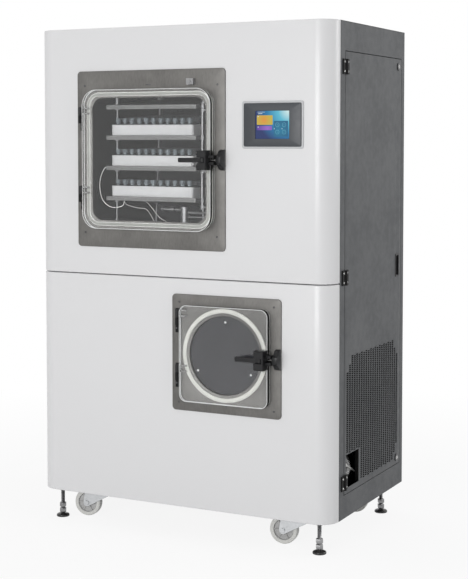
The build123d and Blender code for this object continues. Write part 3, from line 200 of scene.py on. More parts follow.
def tube(path, radius, sides=10):
    # circles of the given radius set square to the path, each turned as little as possible
    # from the one before
    path = np.array(path, float)
    ahead = np.gradient(path, axis=0)
    ahead /= np.linalg.norm(ahead, axis=1)[:, None]
    start = up if abs(ahead[0][2]) < 0.9 else right
    sideways = []
    last = np.cross(ahead[0], start)
    for direction in ahead:
        last = last - direction * np.dot(last, direction)
        last = last / np.linalg.norm(last)
        sideways.append(last)
    sideways = np.array(sideways)
    over = np.cross(ahead, sideways)
    a = np.arange(sides) * 2 * pi / sides
    radius = np.broadcast_to(np.array(radius, float), (len(path),))[:, None, None]
    swing = np.cos(a)[None, :, None] * sideways[:, None] + np.sin(a)[None, :, None] * over[:, None]
    return loft(path[:, None] + radius * swing)


def prism(origin, across, rise, outline, low, high):
    # any outline carried straight along its normal between two depths
    outline = np.array(outline, float)
    normal = np.cross(across, rise)
    flat = outline[:, :1] * across + outline[:, 1:] * rise + np.array(origin)
    return loft(np.array([flat + low * normal, flat + high * normal]))


def turned(part, pivot, axis, degrees):
    # the same part turned round an axis through the pivot
    points, faces = part
    axis = axis / np.linalg.norm(axis)
    arm = points - pivot
    c, s = cos(radians(degrees)), sin(radians(degrees))
    along = (arm @ axis)[:, None] * axis
    return pivot + along + c * (arm - along) + s * np.cross(axis, arm), faces


def copiesAt(part, places):
    # one part repeated at many offsets, as whole arrays
    points, faces = part
    places = np.array(places, float)
    allPoints = (places[:, None] + points[None]).reshape(-1, 3)
    starts = np.arange(len(places)) * len(points)
    allFaces = []
    for start in starts:
        allFaces += [[i + int(start) for i in face] for face in faces]
    return allPoints, allFaces


def joinParts(parts):
    # stacks (points, faces) pairs into one pair
    points, faces, start = [], [], 0
    for partPoints, partFaces in parts:
        points.append(partPoints)
        faces += [[int(i) + start for i in face] for face in partFaces]
        start += len(partPoints)
    return np.concatenate(points), faces


def shade(piece):
    # normals outwards, smooth shading with hard edges past hardAngle
    mesh = piece.data
    work = bmesh.new()
    work.from_mesh(mesh)
    bmesh.ops.remove_doubles(work, verts=work.verts, dist=1e-6)
    bmesh.ops.recalc_face_normals(work, faces=work.faces)
    work.to_mesh(mesh)
    work.free()
    mesh.shade_smooth()
    mesh.set_sharp_from_angle(angle=radians(hardAngle))


def newObject(name, parts, material):
    points, faces = joinParts(parts)
    mesh = bpy.data.meshes.new(name)
    mesh.from_pydata(points.tolist(), [], faces)
    if material:
        mesh.materials.append(material)
    piece = bpy.data.objects.new(name, mesh)
    scene.collection.objects.link(piece)
    return piece


def addPiece(name, parts, body, slotName, replaced=(), material=None):
    # a piece wears its slot's finish unless another one is given
    piece = newObject(name, parts, material or finishes[slotName])
    shade(piece)
    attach(piece, body)
    if replaced:
        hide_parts(*replaced)
    return piece


def settle(piece):
    # turns the modifiers' result into the piece's own mesh
    depsgraph = bpy.context.evaluated_depsgraph_get()
    mesh = bpy.data.meshes.new_from_object(piece.evaluated_get(depsgraph))
    piece.modifiers.clear()
    piece.data = mesh
    shade(piece)


def cutBy(piece, cutterParts):
    # takes the cutter parts out of a piece
    cutter = newObject(piece.name + "Cutter", cutterParts, None)
    shade(cutter)
    cut = piece.modifiers.new("cut", "BOOLEAN")
    cut.operation = "DIFFERENCE"
    cut.solver = "EXACT"
    cut.object = cutter
    bpy.context.view_layer.update()
    settle(piece)
    bpy.data.objects.remove(cutter)


def roundEdges(piece, width, angle=40.0):
    # bevels every edge that is sharper than the angle, in two steps
    rounding = piece.modifiers.new("rounding", "BEVEL")
    rounding.width = width
    rounding.segments = 2
    rounding.limit_method = "ANGLE"
    rounding.angle_limit = radians(angle)
    bpy.context.view_layer.update()
    settle(piece)


def soften(name, material, width):
    # a copy of a node with its sharp edges rounded off and its flat faces kept flat
    mesh = nodes[name].data.copy()
    work = bmesh.new()
    work.from_mesh(mesh)
    bmesh.ops.remove_doubles(work, verts=work.verts, dist=2e-5)
    bmesh.ops.dissolve_limit(work, angle_limit=radians(1.0), verts=work.verts, edges=work.edges)
    bmesh.ops.recalc_face_normals(work, faces=work.faces)
    work.to_mesh(mesh)
    work.free()
    mesh.materials.clear()
    mesh.materials.append(material)
    piece = bpy.data.objects.new(name + "Soft", mesh)
    scene.collection.objects.link(piece)
    roundEdges(piece, width)
    flat = piece.modifiers.new("flatFaces", "WEIGHTED_NORMAL")
    flat.weight = 100
    flat.keep_sharp = True
    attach(piece, bodyOf[name])
    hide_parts(name)


# shader groups shared by several finishes

def newGroup(name, inputs, outputs):
    group = bpy.data.node_groups.new(name, "ShaderNodeTree")
    for label, kind, value in inputs:
        socket = group.interface.new_socket(label, in_out="INPUT", socket_type=kind)
        if value is not None:
            socket.default_value = value
    for label, kind in outputs:
        group.interface.new_socket(label, in_out="OUTPUT", socket_type=kind)
    return group, group.nodes.new("NodeGroupInput"), group.nodes.new("NodeGroupOutput")


def link(tree, source, target):
    tree.links.new(source, target)


def remap(tree, source, fromLow, fromHigh, toLow, toHigh):
    node = tree.nodes.new("ShaderNodeMapRange")
    node.inputs["From Min"].default_value = fromLow
    node.inputs["From Max"].default_value = fromHigh
    node.inputs["To Min"].default_value = toLow
    node.inputs["To Max"].default_value = toHigh
    link(tree, source, node.inputs["Value"])
    return node.outputs["Result"]


def maths(tree, operation, first, second):
    node = tree.nodes.new("ShaderNodeMath")
    node.operation = operation
    for socket, value in zip(node.inputs, (first, second)):
        if isinstance(value, (int, float)):
            socket.default_value = value
        else:
            link(tree, value, socket)
    return node.outputs[0]


def noise(tree, vector, scale, detail, roughness):
    node = tree.nodes.new("ShaderNodeTexNoise")
    link(tree, vector, node.inputs["Vector"])
    if isinstance(scale, (int, float)):
        node.inputs["Scale"].default_value = scale
    else:
        link(tree, scale, node.inputs["Scale"])
    node.inputs["Detail"].default_value = detail
    node.inputs["Roughness"].default_value = roughness
    return node.outputs["Fac"]


def makeBrushedGroup():
    # long thin scratches: noise squeezed along the polishing direction, plus slow mottling
    group, gin, gout = newGroup(
        "brushedLines",
        [("Squeeze", "NodeSocketVector", (1.0, 1.0, 1.0)), ("Fineness", "NodeSocketFloat", 60.0)],
        [("Lines", "NodeSocketFloat"), ("Mottle", "NodeSocketFloat")],
    )
    place = group.nodes.new("ShaderNodeTexCoord")
    stretch = group.nodes.new("ShaderNodeVectorMath")
    stretch.operation = "MULTIPLY"
    link(group, place.outputs["Object"], stretch.inputs[0])
    link(group, gin.outputs["Squeeze"], stretch.inputs[1])
    fine = noise(group, stretch.outputs[0], gin.outputs["Fineness"], 4.0, 0.65)
    slow = noise(group, place.outputs["Object"], 5.5, 4.0, 0.6)
    link(group, fine, gout.inputs["Lines"])
    link(group, slow, gout.inputs["Mottle"])
    return group


def makePeelGroup():
    # the skin of sprayed and powdered paint: small rounded cells over a slow swell
    group, gin, gout = newGroup(
        "paintSkin",
        [("Size", "NodeSocketFloat", 900.0)],
        [("Height", "NodeSocketFloat"), ("Speckle", "NodeSocketFloat")],
    )
    place = group.nodes.new("ShaderNodeTexCoord")
    cells = noise(group, place.outputs["Object"], gin.outputs["Size"], 2.0, 0.5)
    wide = maths(group, "MULTIPLY", gin.outputs["Size"], 0.12)
    swell = noise(group, place.outputs["Object"], wide, 2.0, 0.5)
    height = maths(group, "ADD", maths(group, "MULTIPLY", cells, 0.7), maths(group, "MULTIPLY", swell, 0.5))
    link(group, height, gout.inputs["Height"])
    link(group, cells, gout.inputs["Speckle"])
    return group


def makeHandlingGroup():
    # faint wipe marks and fingerprints: two noises multiplied, kept to soft patches
    group, gin, gout = newGroup(
        "handlingMarks",
        [("Low", "NodeSocketFloat", 0.3), ("High", "NodeSocketFloat", 0.4)],
        [("Roughness", "NodeSocketFloat"), ("Patches", "NodeSocketFloat")],
    )
    place = group.nodes.new("ShaderNodeTexCoord")
    broad = noise(group, place.outputs["Object"], 7.0, 3.0, 0.55)
    narrow = noise(group, place.outputs["Object"], 38.0, 4.0, 0.6)
    patches = remap(group, maths(group, "MULTIPLY", broad, narrow), 0.16, 0.36, 0.0, 1.0)
    spread = maths(group, "SUBTRACT", gin.outputs["High"], gin.outputs["Low"])
    rough = maths(group, "ADD", maths(group, "MULTIPLY", patches, spread), gin.outputs["Low"])
    link(group, rough, gout.inputs["Roughness"])
    link(group, patches, gout.inputs["Patches"])
    return group


def makeDustGroup():
    # fine dust that settles where a face looks up
    group, gin, gout = newGroup("settledDust", [("Amount", "NodeSocketFloat", 0.2)],
                                [("Dust", "NodeSocketFloat")])
    facing = group.nodes.new("ShaderNodeNewGeometry")
    split = group.nodes.new("ShaderNodeSeparateXYZ")
    link(group, facing.outputs["Normal"], split.inputs[0])
    place = group.nodes.new("ShaderNodeTexCoord")
    grains = remap(group, noise(group, place.outputs["Object"], 160.0, 5.0, 0.7), 0.35, 0.75, 0.2, 1.0)
    upward = remap(group, split.outputs["Z"], 0.35, 0.95, 0.0, 1.0)
    dust = maths(group, "MULTIPLY", maths(group, "MULTIPLY", upward, grains), gin.outputs["Amount"])
    link(group, dust, gout.inputs["Dust"])
    return group


brushedGroup = makeBrushedGroup()
peelGroup = makePeelGroup()
handlingGroup = makeHandlingGroup()
dustGroup = makeDustGroup()


# finishes

dustColours = {"onPaint": (0.62, 0.6, 0.57), "onPlastic": (0.5, 0.49, 0.47)}


def newMaterial(name, **constants):
    material = bpy.data.materials.new(name)
    material.use_nodes = True
    shader = material.node_tree.nodes["Principled BSDF"]
    for label, value in constants.items():
        shader.inputs[label.replace("_", " ")].default_value = value
    return material, material.node_tree, shader


def placeGroup(tree, group, **values):
    node = tree.nodes.new("ShaderNodeGroup")
    node.node_tree = group
    for label, value in values.items():
        node.inputs[label].default_value = value
    return node


def blendColours(tree, factor, first, second):
    node = tree.nodes.new("ShaderNodeMix")
    node.data_type = "RGBA"
    for index, value in ((6, first), (7, second)):
        if isinstance(value, tuple):
            node.inputs[index].default_value = (*value, 1.0)
        else:
            link(tree, value, node.inputs[index])
    link(tree, factor, node.inputs[0])
    return node.outputs[2]


def bumpFrom(tree, shader, height, distance):
    bump = tree.nodes.new("ShaderNodeBump")
    bump.inputs["Distance"].default_value = distance
    bump.inputs["Strength"].default_value = 1.0
    link(tree, height, bump.inputs["Height"])
    link(tree, bump.outputs["Normal"], shader.inputs["Normal"])


def paintedFinish(name, colour, shadeColour, size, depth, low, high, dust, coat=0.0):
    # sprayed metal: skin bump, slightly uneven colour, handling marks and dust on top
    material, tree, shader = newMaterial(name, Coat_Weight=coat, Coat_Roughness=0.12)
    skin = placeGroup(tree, peelGroup, Size=size)
    marks = placeGroup(tree, handlingGroup, Low=low, High=high)
    settled = placeGroup(tree, dustGroup, Amount=dust)
    base = blendColours(tree, remap(tree, skin.outputs["Speckle"], 0.35, 0.65, 0.0, 1.0), shadeColour, colour)
    base = blendColours(tree, remap(tree, marks.outputs["Patches"], 0.0, 1.0, 0.0, 0.10), base, shadeColour)
    base = blendColours(tree, settled.outputs["Dust"], base, dustColours["onPaint"])
    link(tree, base, shader.inputs["Base Color"])
    link(tree, marks.outputs["Roughness"], shader.inputs["Roughness"])
    bumpFrom(tree, shader, skin.outputs["Height"], depth)
    return material


def metalFinish(name, bright, dark, squeeze, fineness, low, high, lineBump=0.00004):
    # brushed or ground metal: lines shift colour and roughness, mottling dulls it in patches
    material, tree, shader = newMaterial(name, Metallic=1.0)
    lines = placeGroup(tree, brushedGroup, Squeeze=squeeze, Fineness=fineness)
    marks = placeGroup(tree, handlingGroup, Low=0.0, High=1.0)
    streaks = remap(tree, lines.outputs["Lines"], 0.3, 0.7, 0.0, 1.0)
    mottle = remap(tree, lines.outputs["Mottle"], 0.32, 0.68, 0.0, 1.0)
    mixed = maths(tree, "ADD", maths(tree, "MULTIPLY", streaks, 0.45), maths(tree, "MULTIPLY", mottle, 0.55))
    base = blendColours(tree, mixed, dark, bright)
    worn = maths(tree, "MULTIPLY", marks.outputs["Patches"], 0.4)
    rough = remap(tree, maths(tree, "ADD", maths(tree, "MULTIPLY", streaks, 0.6), worn), 0.0, 1.0, low, high)
    link(tree, base, shader.inputs["Base Color"])
    link(tree, rough, shader.inputs["Roughness"])
    bumpFrom(tree, shader, lines.outputs["Lines"], lineBump)
    return material


def mouldedFinish(name, colour, shadeColour, size, depth, low, high, dust=0.0, **constants):
    # moulded plastic and rubber: fine grain, small colour drift, dust in the open
    material, tree, shader = newMaterial(name, **constants)
    skin = placeGroup(tree, peelGroup, Size=size)
    marks = placeGroup(tree, handlingGroup, Low=low, High=high)
    settled = placeGroup(tree, dustGroup, Amount=dust)
    drift = remap(tree, marks.outputs["Patches"], 0.0, 1.0, 0.0, 0.6)
    base = blendColours(tree, drift, colour, shadeColour)
    base = blendColours(tree, settled.outputs["Dust"], base, dustColours["onPlastic"])
    link(tree, base, shader.inputs["Base Color"])
    link(tree, marks.outputs["Roughness"], shader.inputs["Roughness"])
    bumpFrom(tree, shader, skin.outputs["Height"], depth)
    return material


def clearFinish(name, colour, ior, low, high):
    # clear solid that lets lamp light through to what stands behind it
    material, tree, shader = newMaterial(name, Transmission_Weight=1.0, IOR=ior)
    marks = placeGroup(tree, handlingGroup, Low=low, High=high)
    base = blendColours(tree, marks.outputs["Patches"], colour, tuple(0.97 * c for c in colour))
    link(tree, base, shader.inputs["Base Color"])
    link(tree, marks.outputs["Roughness"], shader.inputs["Roughness"])
    path = tree.nodes.new("ShaderNodeLightPath")
    clear = tree.nodes.new("ShaderNodeBsdfTransparent")
    clear.inputs["Color"].default_value = (*[0.96 * c for c in colour], 1.0)
    mix = tree.nodes.new("ShaderNodeMixShader")
    link(tree, path.outputs["Is Shadow Ray"], mix.inputs[0])
    link(tree, shader.outputs[0], mix.inputs[1])
    link(tree, clear.outputs[0], mix.inputs[2])
    link(tree, mix.outputs[0], tree.nodes["Material Output"].inputs["Surface"])
    return material


# each row: name, main colour, second colour, then for paint and plastic the grains per metre, their
# depth, lowest and highest roughness and dust; for metal the squeeze of its lines along x, y and z,
# their fineness and the two roughnesses; for clear stuff its index and the two roughnesses
finishes = {
    "white_cover": paintedFinish("whiteLacquer", (0.708, 0.708, 0.715), (0.696, 0.696, 0.703),
                                 1100.0, 0.00002, 0.34, 0.42, 0.03, 0.15),
    "grey_panel": paintedFinish("greyPowder", (0.060, 0.0635, 0.068), (0.048, 0.051, 0.055),
                                1500.0, 0.00012, 0.50, 0.62, 0.05),
    "frame_paint": paintedFinish("framePowder", (0.095, 0.096, 0.100), (0.075, 0.076, 0.080),
                                 1300.0, 0.00012, 0.5, 0.62, 0.18),
    "brushed_steel": metalFinish("flangeSteel", (0.188, 0.183, 0.175), (0.100, 0.097, 0.093),
                                 (7.0, 7.0, 1.6), 34.0, 0.44, 0.62),
    "bright_metal": metalFinish("polishedSteel", (0.62, 0.62, 0.61), (0.48, 0.48, 0.47),
                                (3.0, 3.0, 3.0), 40.0, 0.14, 0.30),
    "zinc_plate": metalFinish("zincPlate", (0.58, 0.59, 0.61), (0.42, 0.43, 0.45),
                              (2.0, 2.0, 2.0), 60.0, 0.24, 0.42),
    "aluminium": metalFinish("millAluminium", (0.50, 0.51, 0.52), (0.38, 0.39, 0.40),
                             (3.0, 3.0, 12.0), 60.0, 0.32, 0.48),
    "shelf_aluminium": metalFinish("shelfPlate", (0.21, 0.21, 0.208), (0.145, 0.145, 0.143),
                                   (2.0, 14.0, 14.0), 40.0, 0.34, 0.50),
    "acrylic": clearFinish("clearAcrylic", (0.985, 0.99, 0.99), 1.49, 0.0, 0.004),
    "vial_glass": clearFinish("vialGlass", (0.95, 0.975, 0.98), 1.47, 0.0, 0.03),
    "white_rubber": mouldedFinish("sealRubber", (0.76, 0.76, 0.735), (0.68, 0.68, 0.655),
                                  600.0, 0.00006, 0.45, 0.58),
    "white_tray": mouldedFinish("whiteTray", (0.42, 0.42, 0.425), (0.385, 0.385, 0.39),
                                700.0, 0.00004, 0.42, 0.5),
    "black_plastic": mouldedFinish("blackNylon", (0.007, 0.007, 0.008), (0.013, 0.013, 0.014),
                                   1600.0, 0.00010, 0.30, 0.44, 0.01, Specular_IOR_Level=0.28),
    "panel_plastic": mouldedFinish("bezelPlastic", (0.036, 0.041, 0.048), (0.044, 0.049, 0.057),
                                   1700.0, 0.00006, 0.40, 0.50),
    "screen": mouldedFinish("screenGlass", (0.02, 0.04, 0.10), (0.03, 0.05, 0.12),
                            300.0, 0.00001, 0.08, 0.14),
    "white_lead": mouldedFinish("leadSleeve", (0.66, 0.66, 0.64), (0.58, 0.58, 0.56),
                                900.0, 0.00004, 0.38, 0.5),
    "wheel_nylon": mouldedFinish("castNylon", (0.66, 0.66, 0.635), (0.56, 0.56, 0.535),
                                 800.0, 0.00008, 0.38, 0.52, 0.05),
    "black_foot": mouldedFinish("footPlastic", (0.009, 0.009, 0.010), (0.018, 0.018, 0.018),
                                1200.0, 0.00006, 0.16, 0.30, 0.03),
    "black_enamel": paintedFinish("blackEnamel", (0.013, 0.013, 0.014), (0.019, 0.019, 0.020),
                                  700.0, 0.00006, 0.22, 0.36, 0.16),
    "pump_enamel": paintedFinish("pumpEnamel", (0.085, 0.105, 0.140), (0.070, 0.088, 0.118),
                                 700.0, 0.00008, 0.30, 0.44, 0.16),
}
# painted shade: the liner's steel is darkened far below steel's own colour to stand for the shade deep in the
# chamber; the tabs behind the condenser's baffle wear it too
chamberSteelPaintedShade = metalFinish("chamberSteelPaintedShade", (0.031, 0.031, 0.034), (0.020, 0.020, 0.023),
                           (1.0, 1.0, 3.0), 7.0, 0.40, 0.52, 0.000004)
barrelSteel = metalFinish("barrelSteel", (0.160, 0.158, 0.158), (0.115, 0.114, 0.114),
                          (2.0, 2.0, 4.0), 9.0, 0.32, 0.46, 0.000004)
footSteel = metalFinish("footSteel", (0.40, 0.40, 0.405), (0.17, 0.17, 0.174),
                        (2.0, 2.0, 2.0), 90.0, 0.22, 0.36)
postSteel = metalFinish("postSteel", (0.30, 0.30, 0.305), (0.20, 0.20, 0.205),
                        (2.0, 2.0, 2.0), 50.0, 0.30, 0.44)
glintSteel = metalFinish("glintSteel", (0.95, 0.95, 0.95), (0.80, 0.80, 0.80),
                         (2.0, 2.0, 2.0), 60.0, 0.26, 0.36)
# painted shade: the baffle's steel is darkened to stand for the shade inside the condenser vessel
baffleSteelPaintedShade = metalFinish("baffleSteelPaintedShade", (0.041, 0.041, 0.046), (0.031, 0.031, 0.035),
                          (2.0, 2.0, 2.0), 9.0, 0.38, 0.48, 0.000004)
hoseSteel = metalFinish("hoseSteel", (0.56, 0.56, 0.56), (0.28, 0.28, 0.28),
                        (3.0, 3.0, 3.0), 60.0, 0.22, 0.38)
stopperRubber = mouldedFinish("stopperRubber", (0.086, 0.105, 0.116), (0.064, 0.079, 0.089),
                              900.0, 0.00005, 0.5, 0.6)
# the round seal's rubber: its cream tint is the seal's own, its darkness against the square seal's white rubber is
# painted shade
creamRubberShaded = mouldedFinish("creamRubberShaded", (0.44, 0.438, 0.410), (0.385, 0.383, 0.360),
                            600.0, 0.00006, 0.45, 0.58)
darkSteel = metalFinish("darkSteel", (0.125, 0.125, 0.130), (0.060, 0.060, 0.064),
                        (2.0, 2.0, 2.0), 70.0, 0.30, 0.46)
forkZinc = metalFinish("forkZinc", (0.54, 0.55, 0.56), (0.36, 0.37, 0.38), (2.0, 2.0, 6.0), 50.0, 0.32, 0.48)
trimPlastic = mouldedFinish("trimPlastic", (0.50, 0.51, 0.52), (0.46, 0.47, 0.48),
                            1500.0, 0.00005, 0.34, 0.44)
switchPlastic = mouldedFinish("switchPlastic", (0.30, 0.30, 0.305), (0.25, 0.25, 0.255),
                              1200.0, 0.00006, 0.34, 0.46)
wheelCore = mouldedFinish("wheelCore", (0.46, 0.46, 0.455), (0.38, 0.38, 0.375),
                          900.0, 0.00006, 0.40, 0.52, 0.06)
# painted highlight: pale, nearly white beads on the doors' rims stand for the light their polished edges catch
paintedRimHighlight = mouldedFinish("paintedRimHighlightFinish", (0.90, 0.91, 0.91), (0.82, 0.83, 0.83),
                          300.0, 0.00001, 0.08, 0.16, Alpha=0.85)
hingeBlack = mouldedFinish("hingeBlack", (0.005, 0.005, 0.005), (0.010, 0.010, 0.010),
                           1600.0, 0.00010, 0.46, 0.60, 0.01, Specular_IOR_Level=0.14)
# painted shade: a black sheet behind the grille's slots stands for the shade inside the cabinet
paintedShadeBlack = mouldedFinish("shadeMat", (0.006, 0.006, 0.006), (0.010, 0.010, 0.010),
                         900.0, 0.0002, 0.85, 0.95, Specular_IOR_Level=0.1)
# painted shade: darker copies of the vial glass and stopper rubber for the rows deep in the chamber
shadedRearGlass = mouldedFinish("shadedRearVialGlass", (0.10, 0.115, 0.125), (0.08, 0.095, 0.105),
                          400.0, 0.00001, 0.08, 0.14, Alpha=0.30)
shadedRearRubber = mouldedFinish("shadedRearStopper", (0.045, 0.052, 0.058), (0.035, 0.041, 0.046),
                           900.0, 0.00005, 0.5, 0.6)


def glowFinish(name, colours, spot, reach, strength):
    # a lit patch of the display: its colours follow one another outwards from a spot
    dark = (0.01, 0.012, 0.02, 1.0)
    material, tree, shader = newMaterial(name, Roughness=0.10, Emission_Strength=strength, Base_Color=dark)
    place = tree.nodes.new("ShaderNodeTexCoord")
    offset = tree.nodes.new("ShaderNodeVectorMath")
    offset.operation = "SUBTRACT"
    link(tree, place.outputs["Object"], offset.inputs[0])
    offset.inputs[1].default_value = spot
    flat = tree.nodes.new("ShaderNodeVectorMath")
    flat.operation = "MULTIPLY"
    link(tree, offset.outputs[0], flat.inputs[0])
    flat.inputs[1].default_value = (1.0, 0.0, 1.0)
    size = tree.nodes.new("ShaderNodeVectorMath")
    size.operation = "LENGTH"
    link(tree, flat.outputs[0], size.inputs[0])
    lit = colours[0]
    share = reach / (len(colours) - 1)
    for i, colour in enumerate(colours[1:]):
        outwards = remap(tree, size.outputs["Value"], i * share, (i + 1) * share, 0.0, 1.0)
        lit = blendColours(tree, outwards, lit, colour)
    link(tree, lit, shader.inputs["Emission Color"])
    return material


# the display's picture, spots in metres: background, yellow and violet tiles, teal field, pale marks
screenGlow = glowFinish("screenBlue",
                        [(0.78, 0.95, 0.90), (0.10, 0.52, 0.68), (0.0, 0.19, 0.42), (0.004, 0.022, 0.130)],
                        (0.405, 0.0, 1.414), 0.115, 0.85)
tileGlows = {
    "tileYellow": glowFinish("tileYellow", [(0.80, 0.30, 0.02), (0.62, 0.46, 0.04)],
                             (0.317, 0.0, 1.383), 0.022, 0.85),
    "tileViolet": glowFinish("tileViolet", [(0.34, 0.14, 0.62), (0.085, 0.03, 0.30)],
                             (0.330, 0.0, 1.356), 0.040, 0.85),
    "tileTeal": glowFinish("tileTeal", [(0.004, 0.20, 0.34), (0.0, 0.085, 0.19)],
                           (0.372, 0.0, 1.352), 0.046, 0.85),
    "markWhite": glowFinish("markWhite", [(0.80, 0.88, 0.92), (0.45, 0.70, 0.82)],
                            (0.290, 0.0, 1.392), 0.120, 0.9),
    "ringPale": glowFinish("ringPale", [(0.16, 0.55, 0.68), (0.06, 0.34, 0.48)],
                           (0.376, 0.0, 1.356), 0.040, 0.85),
}
print("finishes made")

# every node of the CAD wears its slot's finish, also those that no piece stands for
for name, node in nodes.items():
    node.data.materials.clear()
    node.data.materials.append(finishes[slotOf[name]])


# the smooth front covers

covers = {
    "wall": 0.004,
    "cornerRadius": 0.062,
    "edge": 0.003,
    "lip": 0.024,
    "cornerSteps": 18,
    "chamberHole": (0.444, 0.422),
    "chamberHoleCorner": 0.038,
    "panelHole": (0.203, 0.139),
    "panelHoleCorner": 0.008,
    "vesselHole": 0.134,
    "cutReach": 0.01,  # how far a cutter stands out on both sides of the wall
}
frontY = span("cover_upper")[0][1]
chamberMiddle = middleOf("chamber_door")
panelMiddle = middleOf("touch_panel_bezel")
vesselMiddle = middleOf("condenser_door")


def onFront(x, z, forward=0.0):
    # a point on the covers' front plane, or a little in front of it
    return np.array([x, frontY - forward, z])


def frontOf(middle):
    # the point of the front plane straight before a middle
    return onFront(middle[0], middle[2])


def coverSection(low, high):
    # the shell's section as (inward, height) points: the outer face with rounded edges, then the
    # lips at both ends and the inner face, once round
    edge, wall, lip = covers["edge"], covers["wall"], covers["lip"]
    a = np.linspace(0, pi / 2, 5)
    top = np.stack([edge * (1 - np.cos(a)), high - edge * (1 - np.sin(a))], axis=1)
    bottom = np.stack([edge * (1 - np.sin(a)), low + edge * (1 - np.cos(a))], axis=1)
    inside = [[lip, high], [lip, high - wall], [wall, high - wall], [wall, low + wall], [lip, low + wall],
              [lip, low]]
    return np.concatenate([top, inside, bottom])


def makeCover(name, holes):
    # the section is carried along the plan line: straight side, quarter turn, front, quarter turn,
    # straight side
    low, high = span(name)
    radius, steps = covers["cornerRadius"], covers["cornerSteps"]
    a = np.linspace(pi, 1.5 * pi, steps + 1)
    turn = np.stack([np.cos(a), np.sin(a)], axis=1)
    leftArc = np.array([low[0] + radius, low[1] + radius]) + radius * turn
    line = np.concatenate([[[low[0], high[1]]], leftArc, leftArc[::-1] * [-1, 1], [[high[0], high[1]]]])
    inward = np.concatenate([[[1.0, 0.0]], -turn, turn[::-1] * [1, -1], [[-1.0, 0.0]]])
    section = coverSection(low[2], high[2])
    flat = line[:, None] + section[None, :, :1] * inward[:, None]
    heights = np.broadcast_to(section[None, :, 1:], (len(line), len(section), 1))
    shell = loft(np.concatenate([flat, heights], axis=2))
    cover = addPiece(name + "Shell", [shell], "root", "white_cover", [name])
    cutBy(cover, holes)


def holeCutter(middle, size, corner):
    stations = [(0.0, -covers["cutReach"]), (0.0, covers["cutReach"])]
    return plate(frontOf(middle), right, up, size, corner, stations)


makeCover("cover_upper", [
    holeCutter(chamberMiddle, covers["chamberHole"], covers["chamberHoleCorner"]),
    holeCutter(panelMiddle, covers["panelHole"], covers["panelHoleCorner"]),
])
makeCover("cover_lower", [
    cylinder(frontOf(vesselMiddle), back, covers["vesselHole"], -covers["cutReach"], covers["cutReach"], 72),
])
print("covers made")


# drying chamber: flange with its screws, liner, nozzle and port

chamber = {
    "flange": (0.563, 0.592),
    "flangeCorner": 0.013,
    "flangeThickness": 0.005,
    "opening": (0.428, 0.406),
    "openingCorner": 0.038,
    "rim": 0.0016,
    "wall": 0.006,
    "depth": 0.420,
    "backRound": 0.012,
    "portRadius": 0.037,
    "portPlace": (0.060, 0.250),
    # the pipe necks of both vessels: outer radius, flange radius and flange thickness
    "neckRadius": 0.040,
    "neckFlange": 0.056,
    "neckFlangeThickness": 0.010,
    # places on the front plane, x and z
    "screws": ((0.152, 1.498), (0.150, 1.006), (-0.354, 1.007), (-0.354, 1.502)),
    "screwRadius": 0.0032,
    "screwHeight": 0.0014,
    # a narrow dark plate above the door, from and to x and z
    "nick": ((-0.115, 1.5005), (-0.095, 1.5035)),
}


def screwHead(origin, axis, radius, height, count=20):
    # a domed head with a round socket in it
    profile = [(radius, -0.0004), (radius, 0.45 * height), (0.93 * radius, 0.72 * height),
               (0.75 * radius, height)]
    profile += [(0.46 * radius, height), (0.40 * radius, 0.3 * height), (nearAxis, 0.3 * height)]
    return lathe(origin, axis, profile, count)


def flangeScrew(x, z, forward=chamber["flangeThickness"]):
    return screwHead(onFront(x, z, forward), -back, chamber["screwRadius"], chamber["screwHeight"])


def vesselNeck(port, root, lip):
    # a pipe neck that runs from its root to a flange at its lip
    c = chamber
    way = 1.0 if lip > root else -1.0
    bore, pipe, flange = c["portRadius"], c["neckRadius"], c["neckFlange"]
    start, ease = lip - way * c["neckFlangeThickness"], way * 0.0005
    profile = [(bore, root), (pipe, root), (pipe, start - 3 * ease), (pipe + 0.0015, start),
               (flange - 0.0005, start)]
    profile += [(flange, start + ease), (flange, lip - ease), (flange - 0.0005, lip), (bore, lip)]
    return lathe(port, up, profile, 48, True)


def makeChamber():
    c = chamber
    middle = frontOf(chamberMiddle)
    face = c["flangeThickness"]
    rows = ringRows(c["flange"], c["flangeCorner"], c["opening"], c["openingCorner"], 0.0, face, c["rim"])
    flange = sectionLoft(middle, right, up, rows, closed=True)
    addPiece("chamberFlange", [flange], "root", "brushed_steel", ["drying_chamber"])

    wide, tall = c["opening"]
    wall, depth, r = c["wall"], c["depth"], c["backRound"]
    outer = [(wide + 2 * wall, tall + 2 * wall, c["openingCorner"] + wall, -d) for d in (depth, 0.0)]
    inner = [(wide, tall, c["openingCorner"], 0.0)]
    for a in np.linspace(0, pi / 2, 5):
        inset, deep = r * (1 - cos(a)), -(depth - wall - r) - r * sin(a)
        inner.append((wide - 2 * inset, tall - 2 * inset, c["openingCorner"] - 0.6 * inset, deep))
    liner = sectionLoft(middle, right, up, outer + inner)
    # the liner wears the darkened steel of painted shade
    shell = addPiece("chamberLiner", [liner], "root", "brushed_steel", material=chamberSteelPaintedShade)
    px, py = c["portPlace"]
    floorLevel = middle[2] - tall / 2
    port = np.array([px, frontY + py, floorLevel])
    cutBy(shell, [cylinder(port, up, c["portRadius"], -0.02, 0.01, 48)])
    nozzle = vesselNeck(port, -0.004, -0.067)
    addPiece("chamberNozzle", [nozzle], "root", "brushed_steel")

    heads = [flangeScrew(x, z) for x, z in c["screws"]]
    start, end = c["nick"]
    heads.append(softBox(onFront(*start, face + 0.0006), onFront(*end, face - 0.001), 0.0004))
    addPiece("flangeScrews", heads, "root", "brushed_steel", material=darkSteel)


makeChamber()
print("chamber made")


# shelf rack, trays, vials and what runs beside them

